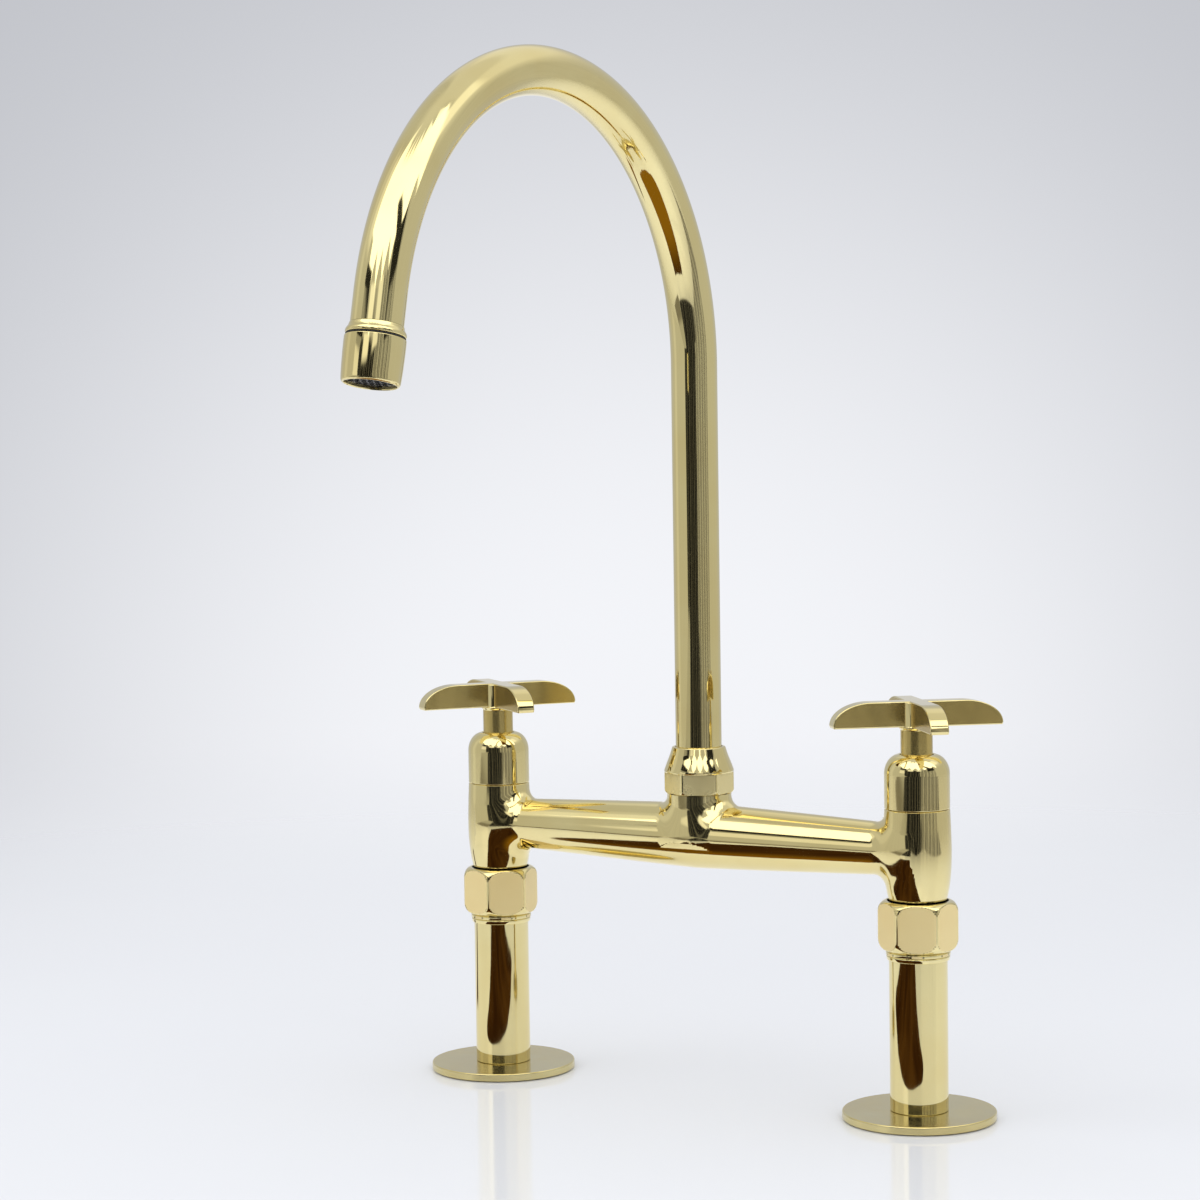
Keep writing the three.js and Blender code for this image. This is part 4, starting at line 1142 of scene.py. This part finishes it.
def dark_cloth():
    """What the metal sees of the table: a painted brown shadow in front of the legs, a dark strip
    behind it on the left, and past the table's front and right edges the dark room. All in metres."""
    bm = bmesh.new()
    bmesh.ops.create_grid(bm, x_segments=1, y_segments=1, size=1.6)
    bmesh.ops.translate(bm, verts=bm.verts, vec=(0, -1.3, 0.0004))
    material, tree = material_tree("dark_cloth")
    place = tree.place()
    across, forward, _, azimuth, streak = around_room(tree, place)
    ragged = tree.swing(tree.noise(place, 11, 2, 0.5), 0.03)
    # The brown patch in front of the legs is a painted shadow on the table, which only the metal
    # sees.
    middle, half_width, near, far, corner = 0.008, 0.178, 0.07, 0.47, 0.04
    from_side = tree.minus(tree.math("ABSOLUTE", tree.minus(across, middle)), half_width - corner)
    from_near = tree.minus(near + corner, forward)
    squares = [tree.math("POWER", tree.larger(gap, 0.0), 2.0) for gap in (from_side, from_near)]
    outside = tree.math("SQRT", tree.plus(*squares))
    shadow_patch = tree.times(tree.math("LESS_THAN", tree.plus(outside, ragged), corner),
                       tree.math("LESS_THAN", tree.plus(forward, ragged), far))
    strip = tree.times(tree.band(across, -0.5, -0.25, 0.02),
                       tree.band(forward, -0.045, -0.005, 0.004))
    aisle = tree.times(tree.ramp(forward, 0.59, 0.62), tree.band(across, -0.8, -0.27, 0.02))
    room = tree.times(tree.ramp(forward, 0.66, 0.7),
                      tree.ramp(tree.plus(across, ragged), -0.29, -0.25))
    right_side = tree.ramp(across, 0.78, 0.82)
    dark, dusk = room_tones(tree, streak, 0.5)
    gloom = tree.add("ShaderNodeMix", {0: tree.ramp(azimuth, 40, 46), 2: dark, 3: dusk})
    shadow_mottle = tree.ramp(tree.noise(tree.stretched(place, 1, 0.3, 1), 14, 3), 0.35, 0.7)
    colour = tree.blend(shadow_mottle, (0.03, 0.011, 0.003, 1), (0.075, 0.033, 0.008, 1))
    # Painted sheen: where the sheet is seen steeply, its brown shadow turns orange.
    steep_sheen = tree.add("ShaderNodeLayerWeight", {"Blend": 0.5}).outputs["Facing"]
    colour = tree.blend(tree.ramp(steep_sheen, 0.14, 0.45, 1.0, 0.0), colour, (0.26, 0.125, 0.008, 1))
    dusty = tree.blend(tree.ramp(forward, 0.85, 1.15), (0.22, 0.21, 0.19, 1), (0.45, 0.45, 0.43, 1))
    colour = tree.blend(aisle, colour, dusty)
    colour = tree.blend(tree.larger(room, right_side), colour, gloom)
    glow = tree.add("ShaderNodeEmission", {"Color": colour, "Strength": 1.0})
    seen = shadow_patch
    for part in (strip, aisle, room, right_side):
        seen = tree.larger(seen, part)
    tree.fading_surface(glow, tree.larger(tree.minus(1.0, seen), tree.underside()))
    only_in_metal(bm, "dark_cloth", material)


def only_in_metal(bm, name, material):
    """Stages a glowing shape that only the metal sees, and that lights nothing else."""
    material.cycles.emission_sampling = "NONE"
    made = as_object(bm, name, (material,))
    for ray in ("camera", "diffuse", "shadow", "transmission", "volume_scatter"):
        setattr(made, "visible_" + ray, False)


def studio_walls():
    """The walls and ceiling of the studio, which only the metal sees: grey, with a dark doorway in
    front, a dusky room to its right, and over both a wide white lamp with a notched lower edge.
    Angles are in degrees."""
    reach = 4.0
    bm = bmesh.new()
    bmesh.ops.create_uvsphere(bm, u_segments=64, v_segments=32, radius=reach)
    bmesh.ops.reverse_faces(bm, faces=bm.faces)
    material, tree = material_tree("studio_walls")
    place = tree.place()
    _, _, up, azimuth, streak = around_room(tree, place)
    level = tree.math("DEGREES", tree.math("ARCSINE", tree.math("DIVIDE", up, reach)))
    wobble = tree.swing(tree.noise(place, 1.1, 3), 9.0)
    bearing = tree.plus(azimuth, wobble)
    height = tree.plus(level, wobble)
    around = tree.math("MODULO", tree.plus(azimuth, 360.0), 360.0)
    slanted = tree.plus(bearing, tree.times(tree.minus(level, 30.0), 1.4))
    dark, dusk = room_tones(tree, streak, 0.58)
    notch = tree.times(tree.math("PINGPONG", tree.minus(azimuth, 10.0), 12.0),
                       tree.ramp(azimuth, -14, -8, 0.0, 0.95))
    edge = tree.minus(level, notch)
    for low, high, rise in ((-22, -12, 5.5), (-37, -29, 6.0)):
        edge = tree.minus(edge, tree.ramp(azimuth, low, high, rise, 0.0))
    value = tree.plus(0.565, tree.swing(streak, 0.25))
    parts = [
        (tree.band(bearing, -82, -67, 3.0), tree.band(level, -8, 56, 3.0), 0.68),  # left wall
        (tree.band(bearing, -67, -48, 3.0), tree.band(level, 33, 60, 4.0), 0.9),
        (tree.band(bearing, -36, -18, 1.0), tree.band(level, 11, 23.5, 1.0), 0.92),  # window
        (tree.band(bearing, -36, -18, 1.0), tree.band(level, 23.5, 27.0, 0.7), 0.36),
        (tree.band(around, 112, 232, 6.0), tree.ramp(level, 24, 38), 0.74),  # behind
        (tree.band(around, 112, 218, 6.0), tree.band(level, 38, 58, 4.0), 0.86),
        (tree.band(around, 100, 132, 4.0), tree.band(level, 39, 58, 3.0), 1.15),
        (tree.band(bearing, 36, 96, 1.5), tree.band(height, -60, 29, 1.5), dusk),  # room
        (tree.band(bearing, -17, 38, 1.0), tree.band(height, -60, 26, 1.5), dark),  # doorway
        (tree.band(azimuth, -6, 14, 2.0), tree.band(level, 22.5, 29, 1.0), 1.1),
        (tree.band(azimuth, 27, 44, 2.0), tree.band(level, 22.5, 29, 1.0), 1.0),
        (tree.band(bearing, -50, 108, 3.0), tree.band(edge, 27.5, 68, 0.8), 1.9),  # lamp
        (tree.band(bearing, -38, -13, 1.0), tree.band(level, 26.5, 32.5, 0.5), 0.02),
        (tree.band(bearing, 67, 92, 1.5), tree.band(level, 20, 33, 1.5), 0.02),
        (tree.band(slanted, 73, 84, 1.0), tree.band(level, 28, 50, 2.0), 0.03),
        (tree.ramp(level, 64, 84), 1.0, 0.72),  # ceiling
    ]
    for across, upward, brightness in parts:
        value = tree.add("ShaderNodeMix", {0: tree.times(across, upward), 2: value, 3: brightness})
    glow = tree.add("ShaderNodeEmission", {"Color": (1, 1, 0.97, 1), "Strength": value})
    from_back = tree.math("ABSOLUTE", tree.minus(around, 210.0))
    behind = tree.times(tree.ramp(from_back, 40, 62, 1.0, 0.0), tree.ramp(level, 20, 45, 1.0, 0.0))
    tree.fading_surface(glow, behind)
    only_in_metal(bm, "studio_walls", material)


def lamp(name, at, size, power):
    """A soft square lamp that looks at the middle of the faucet."""
    data = bpy.data.lights.new(name, "AREA")
    data.shape = "SQUARE"
    data.size = size
    data.energy = power
    made = bpy.data.objects.new(name, data)
    made.location = at
    made.rotation_euler = (LAMP_TARGET - Vector(at)).to_track_quat("-Z", "Y").to_euler()
    made.visible_glossy = False
    bpy.context.scene.collection.objects.link(made)


floor()
backdrop()
dark_cloth()
studio_walls()
lamp("soft_lamp_left", (-1.1, -0.9, 1.6), 1.2, 3.0)
lamp("soft_lamp_right", (1.4, -0.2, 1.5), 1.2, 2.0)

# ---- Camera ----

CAMERA_AT = Vector((0.6349, -1.0978, 0.2901))
CAMERA_YAW = math.radians(31.883)
CAMERA_DOWN = math.radians(3.630)
CAMERA_ROLL = math.radians(-0.825)
FOCAL_PIXELS = 3021.3
FRAME_PIXELS = 1200
SENSOR = 36


def camera():
    data = bpy.data.cameras.new("camera")
    data.sensor_width = SENSOR
    data.lens = SENSOR * FOCAL_PIXELS / FRAME_PIXELS
    made = bpy.data.objects.new("camera", data)
    made.matrix_world = (Matrix.Translation(CAMERA_AT) @ Matrix.Rotation(CAMERA_YAW, 4, "Z")
                         @ Matrix.Rotation(math.pi / 2 - CAMERA_DOWN, 4, "X")
                         @ Matrix.Rotation(CAMERA_ROLL, 4, "Z"))
    bpy.context.scene.collection.objects.link(made)
    bpy.context.scene.camera = made


camera()
bpy.context.scene.view_settings.view_transform = "Standard"
